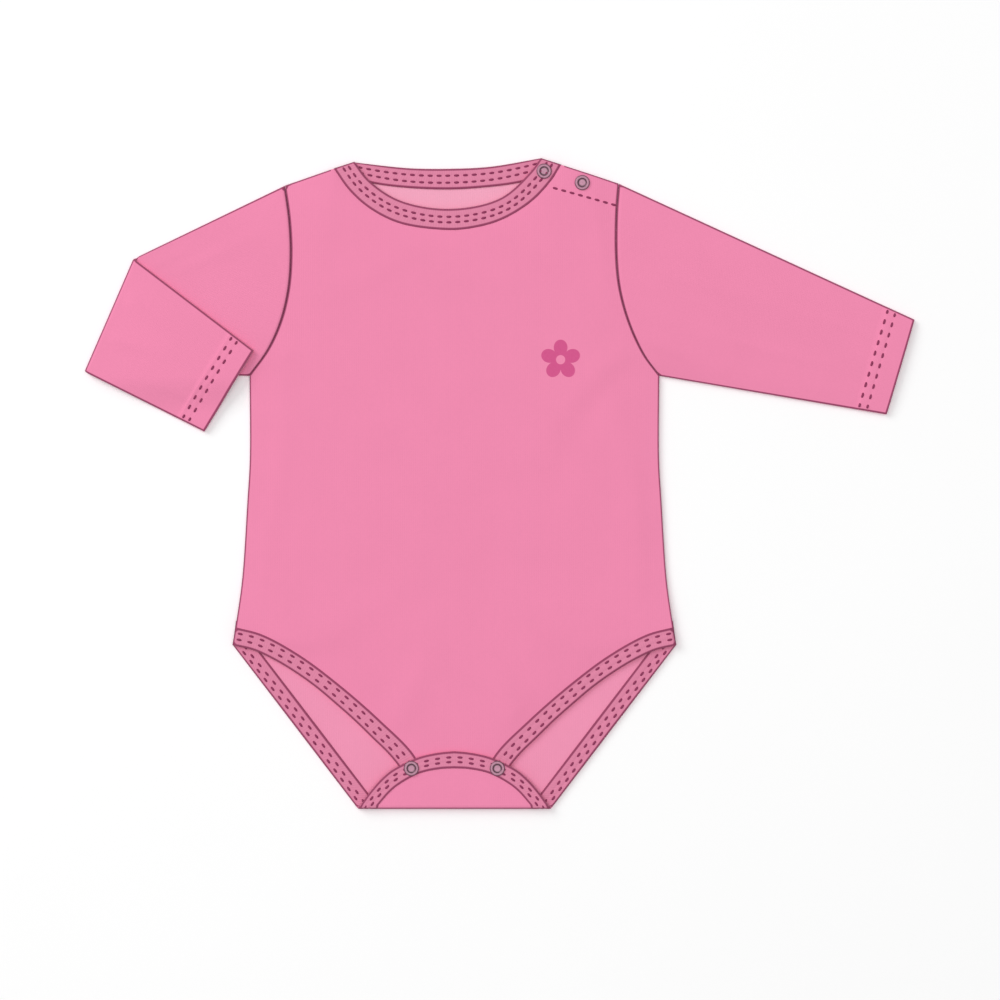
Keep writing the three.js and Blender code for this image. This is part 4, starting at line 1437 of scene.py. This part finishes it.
class BODYSUIT_OT_back_panel(bpy.types.Operator):
    """Back panel, with the extension that turns up over the front at the crotch"""

    bl_idname = "bodysuit.back_panel"
    bl_label = "Back panel"

    def execute(self, context):
        flat, inner, outer = back_grids()
        lighter = 0.35 + 0.65 * smooth_step(flat[..., 1], -60, 90)
        material = jersey(context, "Cotton jersey")
        line = np.minimum(panel_shade_line(flat, BACK_SEAM_END[1]), crease_distance(flat))
        piece = cloth_wall("Back_cloth", inner, outer, flat, material, (NO_SHADE_LINE, line), (lighter, 0))
        round_rim(piece, context.scene.bodysuit_sizes.rim)
        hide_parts("back_panel")
        declare_panel(flat)
        return {"FINISHED"}


class BODYSUIT_OT_front_panel(bpy.types.Operator):
    """Front panel, with soft creases and the printed flower"""

    bl_idname = "bodysuit.front_panel"
    bl_label = "Front panel"

    def execute(self, context):
        flat, upper, lower = front_grids()
        motif = tuple(context.scene.bodysuit_colours.motif)
        material = jersey(context, "Printed cotton jersey", motif)
        lines = panel_shade_line(flat, FRONT_LEG[0][1]), NO_SHADE_LINE
        piece = cloth_wall("Front_cloth", upper, lower, flat, material, lines, (0, 1))
        round_rim(piece, context.scene.bodysuit_sizes.rim)
        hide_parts("front_panel")
        declare_panel(flat)
        return {"FINISHED"}


class BODYSUIT_OT_sleeves(bpy.types.Operator):
    """Straight right sleeve, and left sleeve folded forward at the elbow"""

    bl_idname = "bodysuit.sleeves"
    bl_label = "Sleeves"

    def execute(self, context):
        material = jersey(context, "Cotton jersey")
        sections, along = straight_sleeve_sections()
        piece = cloth_tube("Right_sleeve_cloth", sections, along, material)
        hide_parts("right_sleeve")
        declare_sleeve(sections, along)
        sections, along, elbow = folded_sleeve_sections()
        piece = cloth_tube("Left_sleeve_cloth", sections, along, material, elbow)
        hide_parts("left_sleeve")
        declare_sleeve(sections, along)
        return {"FINISHED"}


class BODYSUIT_OT_bindings(bpy.types.Operator):
    """Folded bindings round the neck, legs and flap, and the strip under the shoulder opening"""

    bl_idname = "bodysuit.bindings"
    bl_label = "Bindings"

    def execute(self, context):
        material = rib(context)
        toes = back_band_toes()
        rows = back_band_rows()
        piece = add_strip(
            "Back_leg_band", back_sewn, back_free, 0, toes, rows, material, place=fold_over
        )
        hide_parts("back_leg_binding")
        declare_strip(back_sewn, back_free)
        under = front_leg_band_height()[:, None]
        front_rows = front_band_rows()
        for side, way in (("right", 1), ("left", -1)):
            sewn, free = front_leg_sewn * [way, 1], front_leg_free * [way, 1]
            title = f"Front_leg_band_{side}"
            piece = add_strip(title, sewn, free, under, MIDDLE_TOES, front_rows, material)
            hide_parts(f"front_leg_binding_{side}")
            declare_strip(sewn, free)
        for side, sewn, free, lift, toes, rows in (
            ("front", FRONT_NECK, FRONT_NECK_FREE, CROSSING_HEIGHT, MIDDLE_TOES, FRONT_NECK_ROWS_IN),
            ("back", BACK_NECK, BACK_NECK_FREE, 0, FLOOR_TOES, BACK_NECK_ROWS_IN),
        ):
            sewn, free = neck_edges(sewn, free)
            title = f"Neck_band_{side}"
            piece = add_strip(title, sewn, free, lift, toes, rows, material)
            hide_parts(f"neck_binding_{side}")
            declare_strip(sewn, free)
        inner, outer = underlap_edges()
        grid = mix(inner[:, None], outer[:, None], np.linspace(0, 1, 13)[None])
        low = flat_place(grid, np.full(grid.shape[:2], SIDE_HEIGHT))
        lines = edge_distance(grid), NO_SHADE_LINE
        name = "Shoulder_underlap_cloth"
        piece = cloth_wall(name, low + [0, 0, CLOTH], low, grid, material, lines)
        round_rim(piece, context.scene.bodysuit_sizes.rim)
        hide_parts("shoulder_underlap")
        declare_panel(grid)
        return {"FINISHED"}


class BODYSUIT_OT_snaps(bpy.types.Operator):
    """Ring snaps of the flap and of the shoulder opening"""

    bl_idname = "bodysuit.snaps"
    bl_label = "Snaps"

    def execute(self, context):
        material = snap_finish("Lacquered snap", tuple(context.scene.bodysuit_colours.snap))
        round_snap = np.array(SNAP_PROFILE)[:, 0].max() * np.array([[1, 0], [-1, 0], [0, 1], [0, -1]])
        for name, node, x, y, on in SNAPS:
            seats = {
                "flap": 2 * FOLD_RADIUS,
                "neck": CROSSING_HEIGHT + BAND,
                "front": front_top(round_snap + [x, y])[:, 2].max(),
            }
            piece = add_snap(name, x, y, seats[on] + SNAP_CLEARANCE, material)
            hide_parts(node)
        return {"FINISHED"}


class BODYSUIT_OT_stitching(bpy.types.Operator):
    """Rows of stitches along the bindings, the cuffs and the shoulder opening"""

    bl_idname = "bodysuit.stitching"
    bl_label = "Stitching"

    def execute(self, context):
        colours, sizes = context.scene.bodysuit_colours, context.scene.bodysuit_sizes
        thread = thread_finish("Sewing thread", tuple(colours.thread))
        radius, length = sizes.thread / MM, sizes.stitch / MM
        neck_pitch, band_pitch = sizes.neck_pitch / MM, sizes.band_pitch / MM

        edges = back_sewn, back_free
        rows = strip_rows(edges, 0, back_band_rows(), fold_over, band_pitch, length)
        for way in (1, -1):
            edges = front_leg_sewn * [way, 1], front_leg_free * [way, 1]
            under = front_leg_band_height()
            rows += strip_rows(edges, under, front_band_rows(), flat_place, band_pitch, length)
        add_stitches("Leg_stitches", rows, radius, thread)

        edges = neck_edges(FRONT_NECK, FRONT_NECK_FREE)
        lift = CROSSING_HEIGHT
        rows = strip_rows(edges, lift, FRONT_NECK_ROWS_IN, flat_place, neck_pitch, length)
        edges = neck_edges(BACK_NECK, BACK_NECK_FREE)
        rows += strip_rows(edges, 0, BACK_NECK_ROWS_IN, flat_place, neck_pitch, length)
        add_stitches("Neck_stitches", rows, radius, thread)

        rows = []
        for (sections, along), rows_in in (
            (straight_sleeve_sections(), RIGHT_HEM_ROWS),
            (folded_sleeve_sections()[:2], LEFT_HEM_ROWS),
        ):
            rows += cuff_rows(sections, along, rows_in, band_pitch, length)
        add_stitches("Cuff_stitches", rows, radius, thread)

        path = front_top(line(*PLACKET_ROW, 40))
        up = np.broadcast_to([0, 0, 1.0], path.shape)
        rows = [stitch_marks(path, up, neck_pitch, length)]
        add_stitches("Shoulder_stitches", rows, radius, thread)
        return {"FINISHED"}


class BODYSUIT_OT_stage(bpy.types.Operator):
    """Floor, soft lights and the camera straight above"""

    bl_idname = "bodysuit.stage"
    bl_label = "Stage"

    def execute(self, context):
        scene = context.scene
        mesh = bpy.data.meshes.new("Floor")
        half, low = 8.0, -0.0006
        corners = [(-half, -half, low), (half, -half, low), (half, half, low), (-half, half, low)]
        mesh.from_pydata(corners, [], [(0, 1, 2, 3)])
        mesh.materials.append(floor_finish("Floor board", tuple(scene.bodysuit_colours.floor)))
        floor = bpy.data.objects.new("Floor", mesh)
        scene.collection.objects.link(floor)

        scene.world = bpy.data.worlds.new("Soft room")
        scene.world.use_nodes = True
        background = scene.world.node_tree.nodes["Background"]
        background.inputs["Color"].default_value = (1, 1, 1, 1)
        background.inputs["Strength"].default_value = 0.4
        for name, place, size, power in (
            ("Overhead softbox", (0, 0, 3.0), 2.5, 41),
            ("Key softbox", (-3.6, 2.85, 3.6), 3.3, 141),
        ):
            lamp = bpy.data.lights.new(name, "AREA")
            lamp.size = size
            lamp.energy = power
            light = bpy.data.objects.new(name, lamp)
            light.location = place
            light.rotation_euler = Vector(place).to_track_quat("Z", "Y").to_euler()
            scene.collection.objects.link(light)

        lens = bpy.data.cameras.new("Camera")
        lens.lens = 100
        lens.sensor_width = 36
        lens.clip_start = 0.01
        camera = bpy.data.objects.new("Camera", lens)
        camera.location = (0, CAMERA_Y, CAMERA_HEIGHT)
        scene.collection.objects.link(camera)
        scene.camera = camera
        scene.view_settings.view_transform = "Standard"
        return {"FINISHED"}


# The photograph is 0.6 m wide at the floor; this is how high a 100 mm lens has to be for that.
CAMERA_HEIGHT = 0.6 * 100 / 36
CAMERA_Y = -0.0099


class BODYSUIT_PT_panel(bpy.types.Panel):
    """Sizes, colours and steps of the bodysuit"""

    bl_label = "Baby Bodysuit"
    bl_space_type = "VIEW_3D"
    bl_region_type = "UI"
    bl_category = "Bodysuit"

    def draw(self, context):
        layout = self.layout
        for group in (context.scene.bodysuit_sizes, context.scene.bodysuit_colours):
            box = layout.box()
            for title in group.__annotations__:
                box.prop(group, title)
        for step in STEPS:
            layout.operator(step.bl_idname)


STEPS = (
    BODYSUIT_OT_back_panel,
    BODYSUIT_OT_front_panel,
    BODYSUIT_OT_sleeves,
    BODYSUIT_OT_bindings,
    BODYSUIT_OT_snaps,
    BODYSUIT_OT_stitching,
    BODYSUIT_OT_stage,
)
CLASSES = (BodysuitSizes, BodysuitColours, *STEPS, BODYSUIT_PT_panel)


def register():
    for kind in CLASSES:
        bpy.utils.register_class(kind)
    bpy.types.Scene.bodysuit_sizes = bpy.props.PointerProperty(type=BodysuitSizes)
    bpy.types.Scene.bodysuit_colours = bpy.props.PointerProperty(type=BodysuitColours)


def unregister():
    del bpy.types.Scene.bodysuit_colours
    del bpy.types.Scene.bodysuit_sizes
    for kind in reversed(CLASSES):
        bpy.utils.unregister_class(kind)


def main():
    register()
    bpy.ops.bodysuit.back_panel()
    bpy.ops.bodysuit.front_panel()
    bpy.ops.bodysuit.sleeves()
    bpy.ops.bodysuit.bindings()
    bpy.ops.bodysuit.snaps()
    bpy.ops.bodysuit.stitching()
    bpy.ops.bodysuit.stage()


if __name__ == "__main__":
    main()
